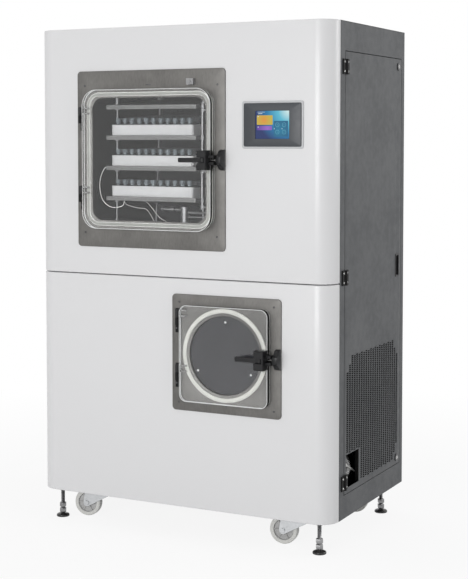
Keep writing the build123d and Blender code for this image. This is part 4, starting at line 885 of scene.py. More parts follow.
rack = {
    "shelfThick": 0.014,
    "shelfCorner": 0.004,
    "shelfEdge": 0.0012,
    "seam": 0.0007,  # groove round the middle of each shelf's edge
    "postRadius": 0.0032,
    "collarRadius": 0.0075,
    "capRadius": 0.010,
    "hangerRadius": 0.007,
    "trayHeight": 0.035,
    "trayWall": 0.002,
    "trayCorner": 0.009,
    "trayRim": 0.0012,
    "vialRadius": 0.012,
    "vialColumns": 11,
    "vialSteps": 28,
    "rearRows": 12,
    "rearSides": 10,
    "pipeRadius": 0.0046,
    "unionRadius": 0.0068,
    "unionHalf": 0.007,
    "wireRadius": 0.0008,
    "leadRadius": 0.0011,
    # two thin wires from the lowest shelf to the chamber's floor, x and z
    "wireRoutes": (
        ((-0.150, 1.119), (-0.136, 1.116), (-0.118, 1.100), (-0.088, 1.068), (-0.066, 1.0536)),
        ((-0.222, 1.119), (-0.210, 1.105), (-0.170, 1.096), (-0.135, 1.091), (-0.112, 1.0536)),
    ),
    # the thicker lead from the second shelf down to the lowest, as steps right and up from its start
    "leadRoute": (
        (0.0, 0.0), (-0.016, -0.002), (-0.032, -0.035), (-0.034, -0.069), (-0.026, -0.101),
        (-0.006, -0.123), (0.022, -0.131), (0.054, -0.124), (0.060, -0.108),
    ),
}
shelfLow, shelfHigh = span("shelves")
shelfThick = rack["shelfThick"]
shelfPitch = (shelfHigh[2] - shelfLow[2] - shelfThick) / 3
shelfLevels = shelfLow[2] + shelfPitch * np.arange(4)
trayLow, trayHigh = span("trays")
vialLow, vialHigh = span("vials")


def makeShelves():
    middle = (shelfLow + shelfHigh) / 2
    wide, deep = (shelfHigh - shelfLow)[:2]
    edge, seam, corner = rack["shelfEdge"], rack["seam"], rack["shelfCorner"]
    half = shelfThick / 2
    insets = [(edge, 0.0), (0.3 * edge, 0.3 * edge), (0.0, edge), (0.0, half - seam), (seam, half)]
    insets += [(inset, shelfThick - depth) for inset, depth in insets[:-1][::-1]]
    shelf = plate(np.array([middle[0], middle[1], 0.0]), right, back, (wide, deep), corner, insets)
    parts = copiesAt(shelf, [(0, 0, level) for level in shelfLevels])
    addPiece("shelfPlates", [parts], "root", "shelf_aluminium", ["shelves"])


def makePosts():
    # a rod with a collar under and over every shelf, and thicker hangers above the top one
    low, high = span("shelf_posts")
    names = ("postRadius", "collarRadius", "capRadius", "hangerRadius")
    thin, collar, cap, hanger = (rack[name] for name in names)
    first, last = low + hanger, high - hanger
    centres = [(x, y) for x in (first[0], last[0]) for y in (first[1], last[1])]
    levels = [low[2], *shelfLevels]
    profile = [(nearAxis, 0.0)]
    for lower, upper in zip(levels[:-1], levels[1:]):
        start = lower if lower == low[2] else lower + shelfThick
        a, b = start - low[2], upper - low[2]
        profile += [(collar, a), (collar, a + 0.005), (thin, a + 0.0055)]
        profile += [(thin, b - 0.0055), (collar, b - 0.005), (collar, b), (thin, b), (thin, b + shelfThick)]
    top = shelfLevels[-1] + shelfThick - low[2]
    profile = profile[:-1] + [(thin, top), (cap, top), (cap, top + 0.004), (hanger, top + 0.0045)]
    profile += [(hanger, high[2] - low[2]), (nearAxis, high[2] - low[2])]
    parts = [lathe(np.array([x, y, low[2]]), up, profile, 16) for x, y in centres]
    addPiece("rackPosts", parts, "root", "bright_metal", ["shelf_posts"], material=postSteel)


def makeTrays():
    middle = (trayLow + trayHigh) / 2
    wide, deep = (trayHigh - trayLow)[:2]
    wall, corner, rim = rack["trayWall"], rack["trayCorner"], rack["trayRim"]
    tall = rack["trayHeight"]
    outside = [(0.0030, 0.0), (0.0010, 0.0010), (0.0, 0.0030), (0.0, tall - 2 * rim),
               (-rim, tall - 1.6 * rim)]
    over = [(-rim, tall - 0.5 * rim), (-0.5 * rim, tall), (wall, tall), (wall + 0.4 * rim, tall - 0.5 * rim)]
    inside = [(wall + 0.4 * rim, tall - 2 * rim), (wall, wall + 0.003), (wall + 0.001, wall + 0.001)]
    stations = [*outside, *over, *inside, (wall + 0.004, wall)]
    tray = plate(np.array([middle[0], middle[1], 0.0]), right, back, (wide, deep), corner, stations)
    parts = copiesAt(tray, [(0, 0, level + shelfThick) for level in shelfLevels[:3]])
    addPiece("whiteTrays", [parts], "root", "white_tray", ["trays"])


def makeVials():
    # clear bottle walls round a hollow, and a flanged stopper that stands half out of each neck
    glass = [(0.0100, 0.0), (0.0115, 0.0006), (0.0120, 0.0020), (0.0120, 0.0290), (0.0114, 0.0315),
             (0.0090, 0.0335)]
    glass += [(0.0070, 0.0350), (0.0069, 0.0362), (0.0086, 0.0366), (0.0088, 0.0375), (0.0086, 0.0398),
              (0.0078, 0.0402)]
    hollow = [(0.0062, 0.0400), (0.0060, 0.0345), (0.0082, 0.0320), (0.0105, 0.0300), (0.0108, 0.0280),
              (0.0108, 0.0030)]
    hollow += [(0.0098, 0.0018), (nearAxis, 0.0016)]
    vial = lathe(np.zeros(3), up, [(nearAxis, 0.0004), *glass, *hollow], rack["vialSteps"])
    stopper = [(nearAxis, 0.0365), (0.0060, 0.0365), (0.0062, 0.0404), (0.0078, 0.0406), (0.0083, 0.0412),
               (0.0083, 0.0520)]
    stopper += [(0.0078, 0.0532), (0.0068, 0.0538), (0.0066, 0.0530), (nearAxis, 0.0528)]
    cap = lathe(np.zeros(3), up, stopper, rack["vialSteps"])
    r = rack["vialRadius"]
    columns = np.linspace(vialLow[0] + r, vialHigh[0] - r, rack["vialColumns"])
    pitch = columns[1] - columns[0]
    levels = shelfLevels[:3] + shelfThick + rack["trayWall"]
    frontRow = [(x, vialLow[1] + r, z) for z in levels for x in columns]
    addPiece("vialGlass", [copiesAt(vial, frontRow)], "root", "vial_glass", ["vials"])
    addPiece("vialStoppers", [copiesAt(cap, frontRow)], "root", "vial_glass", material=stopperRubber)
    rows = vialLow[1] + r + pitch * np.arange(1, rack["rearRows"] + 1)
    rearRows = [(x, y, z) for z in levels for y in rows for x in columns]
    # the rows behind wear the darker copies of glass and rubber: painted shade
    bottle = [(0.0118, 0.0), (0.0120, 0.0300), (0.0085, 0.0340), (0.0095, 0.0400)]
    plainGlass = lathe(np.zeros(3), up, bottle, rack["rearSides"])
    plainCap = cylinder(np.zeros(3), up, 0.0083, 0.0404, 0.0525, rack["rearSides"])
    addPiece("shadedRearGlass", [copiesAt(plainGlass, rearRows)], "root", "vial_glass", material=shadedRearGlass)
    addPiece("rearStoppers", [copiesAt(plainCap, rearRows)], "root", "vial_glass", material=shadedRearRubber)


def hexUnion(x, y, z):
    # a hexagon nut round the upright pipe
    half = rack["unionHalf"]
    return cylinder(np.array([x, y, z - half]), up, rack["unionRadius"], 0.0, 2 * half, 6)


def makePipework():
    # upright manifold with hexagon unions where its branches leave, a stub into every shelf
    low, high = span("fluid_manifold")
    x, y = shelfHigh[0] + 0.0085, (low[1] + high[1]) / 2
    pipe = easedRod(rack["pipeRadius"], 0.0, high[2] - low[2], 0.0005, 0.0006)
    parts = [lathe(np.array([x, y, low[2]]), up, pipe, 20)]
    for z in shelfLevels + shelfThick / 2:
        stub = cylinder(np.array([shelfHigh[0] - 0.0005, y, z]), right, 0.0036, 0.0, 0.007)
        parts += [stub, hexUnion(x, y, z)]
    wallX = chamberMiddle[0] + chamber["opening"][0] / 2
    for z in (low[2] + 0.0055, shelfLevels[1], high[2] - 0.0165):
        branch = cylinder(np.array([x, y, z]), right, 0.004, 0.0, wallX - x)
        washer = lathe(np.array([wallX, y, z]), -right, [(0.009, 0.0), (0.009, 0.002), (0.0075, 0.003)], 20)
        parts += [branch, washer, hexUnion(x, y, z)]
    addPiece("manifoldPipes", parts, "root", "bright_metal", ["fluid_manifold"], material=postSteel)

    # drain cylinder between two collars, a line with a union to its left and two to the wall
    low, high = span("drain_valve")
    base = np.array([low[0] + 0.013, low[1] + 0.013, low[2]])
    body = [(nearAxis, 0.0), (0.0165, 0.0), (0.0165, 0.004), (0.0125, 0.005), (0.0125, 0.022),
            (0.0138, 0.023), (0.0138, 0.026)]
    body += [(0.0125, 0.027), (0.0125, 0.045), (0.0165, 0.046), (0.0165, 0.051), (0.0155, 0.052),
             (nearAxis, 0.052)]
    line = [(nearAxis, 0.0), (0.0055, 0.0), (0.0055, 0.026), (0.0085, 0.027), (0.0085, 0.041),
            (0.0055, 0.042), (0.0055, 0.066)]
    line += [(0.0075, 0.067), (0.0075, 0.074), (0.0065, 0.076), (nearAxis, 0.076)]
    parts = [lathe(base, up, body, 32), lathe(base + [-0.010, 0, 0.043], -right, line, 20)]
    addPiece("drainValveBody", parts, "root", "bright_metal", ["drain_valve"], material=postSteel)
    reach = wallX - base[0] - 0.010
    lines = []
    for r, rise in ((0.0042, 0.034), (0.0034, 0.020)):
        lines.append(cylinder(base + [0.010, 0, rise], right, r, 0.0, reach))
    addPiece("drainLines", lines, "root", "bright_metal", material=postSteel)


def makeWires():
    # two thin sensor wires that droop from the lowest shelf to the chamber floor
    y = shelfLow[1] + 0.03
    parts = []
    for route in rack["wireRoutes"]:
        points = [(x, y, z) for x, z in route]
        points[-1] = (route[-1][0], y + 0.01, route[-1][1])
        parts.append(tube(smoothPath(points, 28), rack["wireRadius"], 8))
    addPiece("sensorWires", parts, "root", "white_lead")
    start = np.array([shelfLow[0], middleOf("probe_leads")[1], shelfLevels[1] + shelfThick / 2])
    route = [tuple(start + [x, 0.0, z]) for x, z in rack["leadRoute"]]
    lead = tube(smoothPath(route, 60), rack["leadRadius"])
    addPiece("probeLead", [lead], "root", "white_lead", ["probe_leads"])


makeShelves()
makePosts()
makeTrays()
makeVials()
makePipework()
makeWires()
print("shelf rack made")


# gaskets on the two flanges

seals = {
    "chamberSize": (0.468, 0.444),
    "chamberCorner": 0.046,
    "band": 0.0125,
    "height": 0.004,
    "round": 0.0014,
    "ringRadius": 0.152,
    "ringBand": 0.014,
    "ringHeight": 0.003,
    "ringRound": 0.0012,
}


def makeGaskets():
    s = seals
    face = chamber["flangeThickness"]
    inner = tuple(side - 2 * s["band"] for side in s["chamberSize"])
    corner, band = s["chamberCorner"], s["band"]
    rows = ringRows(s["chamberSize"], corner, inner, corner - band, face, face + s["height"], s["round"])
    square = sectionLoft(frontOf(chamberMiddle), right, up, rows, closed=True, steps=14)
    outer, bore, r = s["ringRadius"], s["ringRadius"] - s["ringBand"], s["ringRound"]
    high = face + s["ringHeight"]
    profile = [(bore, face), (outer, face), (outer, high - r), (outer - 0.3 * r, high - 0.3 * r),
               (outer - r, high)]
    profile += [(bore + r, high), (bore + 0.3 * r, high - 0.3 * r), (bore, high - r)]
    ring = lathe(frontOf(vesselMiddle), -back, profile, 120, True)
    addPiece("gasketBeads", [square], "root", "white_rubber", ["door_gaskets"])
    addPiece("roundGasket", [ring], "root", "white_rubber", material=creamRubberShaded)


makeGaskets()
print("gaskets made")


# clear doors with drilled hinge holes, and their hinges

doorKit = {
    "bevel": 0.0022,
    "beadInset": (0.0006, 0.0022),
    "corners": {"chamber_door": 0.054, "condenser_door": 0.026},
    "holeRadius": 0.0027,
    "holeDepth": 0.028,
    "studRadius": 0.0025,
    "studReach": 0.026,
    "studInset": 0.0045,
    "knuckleRadius": 0.007,
    "knuckleHeight": 0.027,
    # the hinge plates' screws: down from each knuckle's top, left of the pin, before the front plane
    "screwDrops": (0.012, 0.066),
    "screwSide": 0.0095,
    "screwForward": 0.0075,
}


def strapLevels(name):
    low, high = span(name)
    tall = doorKit["knuckleHeight"]
    return [(low[2], low[2] + tall), (high[2] - tall, high[2])]


def studHeights(levels):
    inset = doorKit["studInset"]
    return [z for low, high in levels for z in (low + inset, high - inset)]


def makeDoor(name):
    low, high = span(name)
    size = (high[0] - low[0], high[2] - low[2])
    stations = softEdge(frontY - high[1], frontY - low[1], doorKit["bevel"], 4)
    slab = plate(frontOf(middleOf(name)), right, up, size, doorKit["corners"][name], stations, steps=16)
    door = addPiece(name + "Slab", [slab], name, "acrylic", [name])
    pin = hingeOf(name + "_swing")[0]
    radius, depth = doorKit["holeRadius"], doorKit["holeDepth"]
    heights = studHeights(strapLevels(name + "_straps"))
    cutBy(door, [cylinder(np.array([low[0], pin[1], z]), right, radius, -0.004, depth, 20) for z in heights])


def makeRimHighlightBeads(name):
    # pale beads round the rims of both faces: painted highlights that draw two thin bright lines
    low, high = span(name)
    w, h = high[0] - low[0], high[2] - low[2]
    corner = doorKit["corners"][name]
    a, b = doorKit["beadInset"]
    front, rear = frontY - low[1], frontY - high[1]
    rings = []
    outer, inner = (w - 2 * a, h - 2 * a), (w - 2 * b, h - 2 * b)
    for start, end in ((front - 0.0016, front + 0.0002), (rear - 0.0002, rear + 0.0016)):
        rows = ringRows(outer, corner - a, inner, corner - b, start, end, 0.0004)
        rings.append(sectionLoft(frontOf(middleOf(name)), right, up, rows, closed=True, steps=14))
    addPiece(name + "Edges", rings, name, "acrylic", material=paintedRimHighlight)


def makeStraps(name):
    # knuckle with rounded rims and a pin cap, a leaf against the door's edge and two threaded studs
    k = doorKit
    pin = hingeOf(name + "_swing")[0]
    doorLeft = span(name)[0][0]
    parts, studs = [], []
    levels = strapLevels(name + "_straps")
    for low, high in levels:
        tall = high - low
        r = k["knuckleRadius"]
        profile = [(0.0036, 0.0), (r - 0.0008, 0.0), (r, 0.0008), (r, tall - 0.0012),
                   (r - 0.0006, tall - 0.0004)]
        profile += [(r - 0.0016, tall), (0.0042, tall), (0.0036, tall - 0.0008), (nearAxis, tall - 0.0008)]
        parts.append(lathe(np.array([pin[0], pin[1], low]), up, profile, 32))
        start = (pin[0] + 0.004, pin[1] - 0.005, low + 0.0004)
        parts.append(softBox(start, (doorLeft, pin[1] + 0.005, high - 0.0004), 0.0008))
    for z in studHeights(levels):
        turns = np.arange(0.0, k["studReach"] - 0.001, 0.0006)
        thread = [(k["studRadius"] - (0.0003 if i % 2 else 0.0), x) for i, x in enumerate(turns)]
        profile = [(nearAxis, -0.0002), *thread, (nearAxis, k["studReach"] - 0.0005)]
        studs.append(lathe(np.array([doorLeft, pin[1], z]), right, profile, 14))
    addPiece(name + "Straps", parts, name, "bright_metal", [name + "_straps"],
             material=finishes["black_plastic"])
    addPiece(name + "Studs", studs, name, "bright_metal")


def makePlateScrews():
    k = doorKit
    heads = []
    for name in k["corners"]:
        pin = hingeOf(name + "_swing")[0]
        for _, high in strapLevels(name + "_straps"):
            for drop in k["screwDrops"]:
                heads.append(flangeScrew(pin[0] - k["screwSide"], high - drop, k["screwForward"]))
    addPiece("hingePlateScrews", heads, "root", "black_plastic", material=darkSteel)


for make in (makeDoor, makeRimHighlightBeads, makeStraps):
    for name in doorKit["corners"]:
        make(name)
soften("hinge_brackets", hingeBlack, 0.0007)
makePlateScrews()
print("doors made")


# latches: housings and levers with eased edges, keepers with hollowed flanks, rollers

latch = {
    "ease": 0.0012,
    "leverEase": 0.0016,
    "keeperHalf": 0.034,
    "shoulder": 0.014,
    "shoulderHalf": 0.030,
    "depth": 0.034,
    "noseHalf": 0.012,
    "hollow": 1.8,  # 1 makes the keepers' flanks straight, more hollows them
    "rollerRadius": 0.0045,
    "keeperGap": 0.020,
    "keeperWidths": {"chamber_door": 0.017, "condenser_door": 0.0175},
    "pulls": {"chamber_door": "chamber_latch_pull", "condenser_door": "condenser_latch_pull"},
    "pinRadius": 0.0034,
    "pinHalf": 0.0322,
    "pinEase": 0.0004,
}


def keeperOutline():
    # half height against depth: a short straight foot, then flanks that sweep in to the nose
    k = latch
    deep = np.linspace(0, 1, 9)[1:]
    depths = np.concatenate([[0.0, k["shoulder"]], k["shoulder"] + deep * (k["depth"] - k["shoulder"])])
    sweep = k["noseHalf"] + (k["shoulderHalf"] - k["noseHalf"]) * (1 - deep) ** k["hollow"]
    halves = np.concatenate([[k["keeperHalf"], k["shoulderHalf"]], sweep])
    upper = np.stack([-depths, halves], axis=1)
    return np.concatenate([upper, upper[::-1] * [1, -1]])


def makeKeepers():
    parts = []
    rollers = []
    face = chamber["flangeThickness"]
    r = latch["rollerRadius"]
    roller = [(nearAxis, 0.0), (r - 0.0006, 0.0), (r, 0.0006), (r, 0.0105), (r - 0.0006, 0.0111)]
    roller += [(0.0028, 0.0111), (0.0028, 0.018)]
    for name, lever in latch["pulls"].items():
        low, high = span(name)
        z = hingeOf(lever)[0][2]
        base = np.array([high[0] + latch["keeperGap"], frontY - face, z])
        parts.append(prism(base, back, up, keeperOutline(), 0.0, latch["keeperWidths"][name]))
        rollers.append(lathe(np.array([high[0] + 0.003, low[1] + 0.006, z]), right, roller, 24))
    keeper = addPiece("latchKeepers", parts, "root", "black_plastic", ["latch_keepers"])
    roundEdges(keeper, latch["ease"], 35.0)
    addPiece("latchRollers", rollers, "root", "black_plastic", material=finishes["bright_metal"])


def makeLatchPin(name):
    half, ease = latch["pinHalf"], latch["pinEase"]
    rim = easedRod(latch["pinRadius"], -half, half, ease, ease)
    pin = lathe(hingeOf(name + "_latch_pull")[0], up, rim, 20)
    addPiece(name + "LatchPin", [pin], name + "_door", "black_plastic", material=finishes["bright_metal"])


makeKeepers()
for name in ("chamber_latch_body", "condenser_latch_body"):
    soften(name, finishes["black_plastic"], latch["ease"])
for name in ("chamber_latch_lever", "condenser_latch_lever"):
    soften(name, finishes["black_plastic"], latch["leverEase"])
for name in ("chamber", "condenser"):
    makeLatchPin(name)
soften("door_switch", switchPlastic, 0.0008)
print("latches made")


# condenser: flange, barrel, saddles, nozzle and the baffle behind its door, darkened with painted shade

condenser = {
    "flange": (0.396, 0.385),
    "bore": 0.128,
    "wall": 0.004,
    "depth": 0.420,
    "screws": ((0.010, 0.789), (0.354, 0.789), (0.354, 0.454), (0.008, 0.457), (0.183, 0.457)),
    "baffleRadius": 0.126,
    "baffleDepth": (0.0060, 0.0040),  # from and to, behind the front plane
    "tab": (0.017, 0.007),  # half width and half height of the tabs behind the baffle's screws, dark with painted shade
    "baffleScrew": (0.0040, 0.0020),  # radius and height
    "baffleScrews": ((0.179, 0.729), (0.081, 0.567), (0.271, 0.566)),
    "saddles": (0.090, 0.316),
}


def makeCondenser():
    c = condenser
    middle = frontOf(vesselMiddle)
    bore = c["bore"]
    face = chamber["flangeThickness"]
    rows = ringRows(c["flange"], chamber["flangeCorner"], (2 * bore, 2 * bore), bore, 0.0, face, 0.0014)
    flange = sectionLoft(middle, right, up, rows, closed=True, steps=26)
    addPiece("condenserFlange", [flange], "root", "brushed_steel", ["condenser_vessel"])

    outer = bore + c["wall"]
    end = c["depth"]
    profile = [(outer, 0.0), (outer, end - 0.012), (outer - 0.0035, end - 0.0035), (outer - 0.012, end),
               (nearAxis, end)]
    profile += [(nearAxis, end - 0.004), (bore - 0.010, end - 0.004), (bore - 0.003, end - 0.007),
                (bore, end - 0.014), (bore, 0.0)]
    barrel = lathe(middle, back, profile, 96, True)
    lowest = middle[2] - outer
    parts = [barrel]
    for start in c["saddles"]:
        low = (middle[0] - 0.085, frontY + start, lowest)
        parts.append(softBox(low, (middle[0] + 0.085, frontY + start + 0.014, middle[2] - 0.10), 0.001))
    parts.append(vesselNeck(middle + back * chamber["portPlace"][1], 0.120, 0.172))
    addPiece("condenserBarrel", parts, "root", "brushed_steel", material=barrelSteel)
    heads = [flangeScrew(x, z) for x, z in c["screws"]]
    addPiece("condenserScrews", heads, "root", "brushed_steel", material=darkSteel)

    rear, front = c["baffleDepth"]
    disc = lathe(middle, -back, easedRod(c["baffleRadius"], -rear, -front, 0.0005, 0.0005), 96)
    addPiece("bafflePlate", [disc], "root", "brushed_steel", ["baffle_plate"], material=baffleSteelPaintedShade)
    heads = [screwHead(onFront(x, z, -0.0041), -back, *c["baffleScrew"], 24) for x, z in c["baffleScrews"]]
    addPiece("baffleScrews", heads, "root", "brushed_steel", material=glintSteel)
    w, h = c["tab"]
    tabs = []
    for x, z in c["baffleScrews"]:
        tabs.append(softBox(onFront(x - w, z - h, -0.0062), onFront(x + w, z + h, -0.0158)))
    # the tabs wear the chamber liner's darkened steel, painted shade
    addPiece("baffleTabs", tabs, "root", "brushed_steel", material=chamberSteelPaintedShade)


makeCondenser()
print("condenser made")


# touch panel: pale trim, dark bezel, glass screen and its picture

panel = {
    "trim": (0.215, 0.151),
    "trimCorner": 0.008,
    "trimWidth": 0.0070,
    "trimDepth": 0.0040,
    "bezelDepth": 0.0060,
    "bezelCorner": 0.005,
    "window": (0.1176, 0.0883),
    "windowCorner": 0.002,
    "screenRecess": 0.0022,
    "housing": (0.199, 0.135),
    "housingCorner": 0.004,
    "housingDepth": 0.045,
    # tiles of the picture: left, bottom, width and height as parts of the screen, then a colour
    "tiles": (
        (0.04, 0.50, 0.47, 0.34, "tileYellow"),
        (0.04, 0.31, 0.45, 0.15, "tileViolet"),
        (0.545, 0.08, 0.42, 0.56, "tileTeal"),
    ),
    "tileCorner": 0.0022,
    "ringPlaces": ((0.65, 0.50), (0.85, 0.50), (0.65, 0.24), (0.85, 0.24)),
    "ringRadius": 0.0068,
    "ringBand": 0.0010,
    "dotRadius": 0.0012,
    # small pale marks: middle as parts of the screen, then width and height
    "marks": (
        (0.08, 0.80, 0.0028, 0.0028),
        (0.08, 0.42, 0.0028, 0.0028),
        (0.56, 0.36, 0.0022, 0.0030),
        (0.79, 0.36, 0.0022, 0.0030),
        (0.14, 0.90, 0.0150, 0.0016),
        (0.17, 0.955, 0.0260, 0.0010),
    ),
}


def onScreen(left, bottom):
    # a point of the picture, as parts of its width and height
    wide, tall = panel["window"]
    return frontOf(panelMiddle) + right * (left - 0.5) * wide + up * (bottom - 0.5) * tall


def makePanel():
    p = panel
    middle = frontOf(panelMiddle)
    inner = tuple(side - 2 * p["trimWidth"] for side in p["trim"])
    corner = p["trimCorner"]
    rows = ringRows(p["trim"], corner, inner, corner - 0.003, 0.0, p["trimDepth"], 0.0018, 4)
    addPiece("panelTrim", [sectionLoft(middle, right, up, rows, True, 8)], "root", "panel_plastic",
             material=trimPlastic)

    wide, tall = inner
    high = p["bezelDepth"]
    deep = high - p["screenRecess"] - 0.0006
    # rows round the bezel's section: width, height, corner and depth
    housing, edge = (*p["housing"], p["housingCorner"]), p["bezelCorner"]
    body = [(*housing, 0.0), (wide, tall, edge, 0.0), (wide, tall, edge, high - 0.0018)]
    body += [(wide - 0.0012, tall - 0.0012, edge, high - 0.0005),
             (wide - 0.0036, tall - 0.0036, edge - 0.001, high)]
    opening, corner = p["window"], p["windowCorner"]
    body += [(opening[0] + 0.0024, opening[1] + 0.0024, corner + 0.001, high)]
    body += [(opening[0] + 0.0008, opening[1] + 0.0008, corner, high - 0.0007)]
    body += [(*opening, corner, deep), (*opening, corner, -0.002), (*housing, -0.002)]
    bezel = sectionLoft(middle, right, up, body, True, 8)
    addPiece("panelBezel", [bezel], "root", "panel_plastic", ["touch_panel_bezel"])
    case = [(*housing, -0.0021), (*housing, -p["housingDepth"] + 0.002)]
    case += [(housing[0] - 0.004, housing[1] - 0.004, housing[2] - 0.001, -p["housingDepth"])]
    addPiece("panelCase", [sectionLoft(middle, right, up, case)], "root", "panel_plastic",
             material=finishes["black_plastic"])

    glassFace = high - p["screenRecess"]
    rows = [(*opening, corner, -0.0018), (*opening, corner, glassFace)]
    screen = sectionLoft(middle, right, up, rows, steps=6)
    addPiece("panelScreen", [screen], "root", "screen", ["touch_panel_screen"], material=screenGlow)
    tileDepths = [(0.0, glassFace - 0.0004), (0.0, glassFace + 0.00015)]
    for i, (left, bottom, w, h, key) in enumerate(p["tiles"]):
        centre = onScreen(left + w / 2, bottom + h / 2)
        size = (w * opening[0], h * opening[1])
        tile = plate(centre, right, up, size, p["tileCorner"], tileDepths, steps=5)
        addPiece("screenTile%d" % (i + 1), [tile], "root", "screen", material=tileGlows[key])
    rings = []
    r, bore, proud = p["ringRadius"], p["ringRadius"] - p["ringBand"], glassFace + 0.0003
    section = [(bore, glassFace), (r, glassFace), (r, proud), (bore, proud)]
    for left, bottom in p["ringPlaces"]:
        centre = onScreen(left, bottom)
        rings.append(lathe(centre, -back, section, 32, True))
        rings.append(cylinder(centre, -back, p["dotRadius"], glassFace, proud))
    addPiece("screenRings", rings, "root", "screen", material=tileGlows["ringPale"])
    marks = []
    markDepths = [(0.0, glassFace - 0.0002), (0.0, proud)]
    for left, bottom, w, h in p["marks"]:
        marks.append(plate(onScreen(left, bottom), right, up, (w, h), 0.0004, markDepths, steps=3))
    addPiece("screenMarks", marks, "root", "screen", material=tileGlows["markWhite"])


makePanel()
print("touch panel made")


# service door: folded sheet, vent grille with staggered slots, pull, locks and hinges

sideDoor = {
    "sheet": 0.002,
    "ease": 0.0009,
    "fold": 0.014,
    "foldInset": 0.0012,
    "foldEase": 0.0007,
    "columns": 23,
    "rows": 67,
    "grilleSheet": 0.0010,
    "slot": (0.0152, 0.0046),
    "stepRows": 4,  # rows of slots in each step of the corners
    "slotRim": 0.0012,
    "cutOut": (0.110, 0.108),
    "pullHole": (0.0275, 0.0725),
    "mat": (0.0125, 0.0095),  # how far behind the sheet's face the black mat of painted shade starts and ends
    # the leaves' screws: up and down from each hinge's middle, beside the pin, before the sheet's face
    "leafHalf": 0.024,
    "middleHinge": 0.660,  # from the lowest hinge up to the middle one
    "screwRise": 0.015,
    "screwSide": 0.0145,
    "screwForward": 0.004,
    "screwRadius": 0.0034,
    "screwHeight": 0.0016,
}
doorLow, doorHigh = span("service_door")
grilleLow, grilleHigh = span("vent_grille")
pullLow, pullHigh = span("door_pull")
skinX = doorHigh[0]


def sheetWithHoles(origin, across, rise, columns, rows, solid, thickness):
    # an uneven grid of cells, each solid or open: solid cells get a front and a rear face, and a
    # wall stands wherever a solid cell meets an open one or the sheet's edge
    normal = np.cross(across, rise)
    x, y = np.meshgrid(columns, rows)
    front = (np.array(origin) + x[..., None] * across + y[..., None] * rise).reshape(-1, 3)
    points = np.concatenate([front, front - thickness * normal])
    count = len(front)
    index = np.arange(count).reshape(len(rows), len(columns))
    cells = np.stack([index[:-1, :-1], index[:-1, 1:], index[1:, 1:], index[1:, :-1]], axis=-1)[solid]
    padded = np.pad(solid, 1)
    r, c = np.nonzero(padded[1:-1, 1:] != padded[1:-1, :-1])
    upright = np.stack([index[r, c], index[r + 1, c], index[r + 1, c] + count, index[r, c] + count], axis=-1)
    r, c = np.nonzero(padded[1:, 1:-1] != padded[:-1, 1:-1])
    level = np.stack([index[r, c], index[r, c + 1], index[r, c + 1] + count, index[r, c] + count], axis=-1)
    faces = np.concatenate([cells, cells[:, ::-1] + count, upright, level])
    used, faces = np.unique(faces, return_inverse=True)
    return points[used], faces.reshape(-1, 4).tolist()


def inBox(y, z, low, high):
    return (y > low[0]) & (y < high[0]) & (z > low[1]) & (z < high[1])


# the grille's width and height, the pitch of its columns and rows, and the height of a corner's step
grilleWide, grilleTall = (grilleHigh - grilleLow)[1:]
pitchY, pitchZ = grilleWide / sideDoor["columns"], grilleTall / sideDoor["rows"]
stepTall = sideDoor["stepRows"] * pitchZ
cutY, cutZ = grilleLow[1:] + np.array(sideDoor["cutOut"])


def inGrille(y, z):
    # the grille's field: its three outer corners go back in two steps of one column each
    w, h = grilleWide, grilleTall
    a, b = y - grilleLow[1], z - grilleLow[2]
    inside = (a > 0) & (a < w) & (b > 0) & (b < h)
    for side, end in ((a, h - b), (w - a, h - b), (w - a, b)):
        for k in (1, 2):
            inside &= ~((side < k * pitchY) & (end < (3 - k) * stepTall))
    return inside


def stepLines():
    # the lines on which the steps of the grille's corners lie, across and up
    steps = np.arange(3)
    across = [grilleLow[1] + steps * pitchY, grilleHigh[1] - steps * pitchY]
    return across, [grilleLow[2] + steps * stepTall, grilleHigh[2] - steps * stepTall]


def makeDoorSheet():
    s = sideDoor
    stepYs, stepZs = stepLines()
    middle, half = (pullLow + pullHigh)[1:] / 2, np.array(s["pullHole"]) / 2
    holeLow, holeHigh = middle - half, middle + half
    ys = np.concatenate([*stepYs, [doorLow[1], doorHigh[1], holeLow[0], holeHigh[0]]])
    zs = np.concatenate([*stepZs, [doorLow[2], doorHigh[2], holeLow[1], holeHigh[1]]])
    ys, zs = np.unique(np.round(ys, 6)), np.unique(np.round(zs, 6))
    y, z = np.meshgrid((ys[1:] + ys[:-1]) / 2, (zs[1:] + zs[:-1]) / 2)
    solid = ~inGrille(y, z) & ~inBox(y, z, holeLow, holeHigh)
    origin = np.array([skinX, 0.0, 0.0])
    sheet = sheetWithHoles(origin, back, up, ys, zs, solid, s["sheet"])
    door = addPiece("serviceSheet", [sheet], "service_door", "grey_panel", ["service_door"])
    roundEdges(door, s["ease"])
    t, ease = s["sheet"], s["foldEase"]
    x = (skinX - s["fold"], skinX - s["foldInset"])
    folds = [
        softBox((x[0], doorLow[1], doorLow[2]), (x[1], doorLow[1] + t, doorHigh[2]), ease),
        softBox((x[0], doorHigh[1] - t, doorLow[2]), (x[1], doorHigh[1], doorHigh[2]), ease),
        softBox((x[0], doorLow[1] + t, doorLow[2]), (x[1], doorHigh[1] - t, doorLow[2] + t), ease),
        softBox((x[0], doorLow[1] + t, doorHigh[2] - t), (x[1], doorHigh[1] - t, doorHigh[2]), ease),
    ]
    addPiece("serviceFolds", folds, "service_door", "grey_panel")


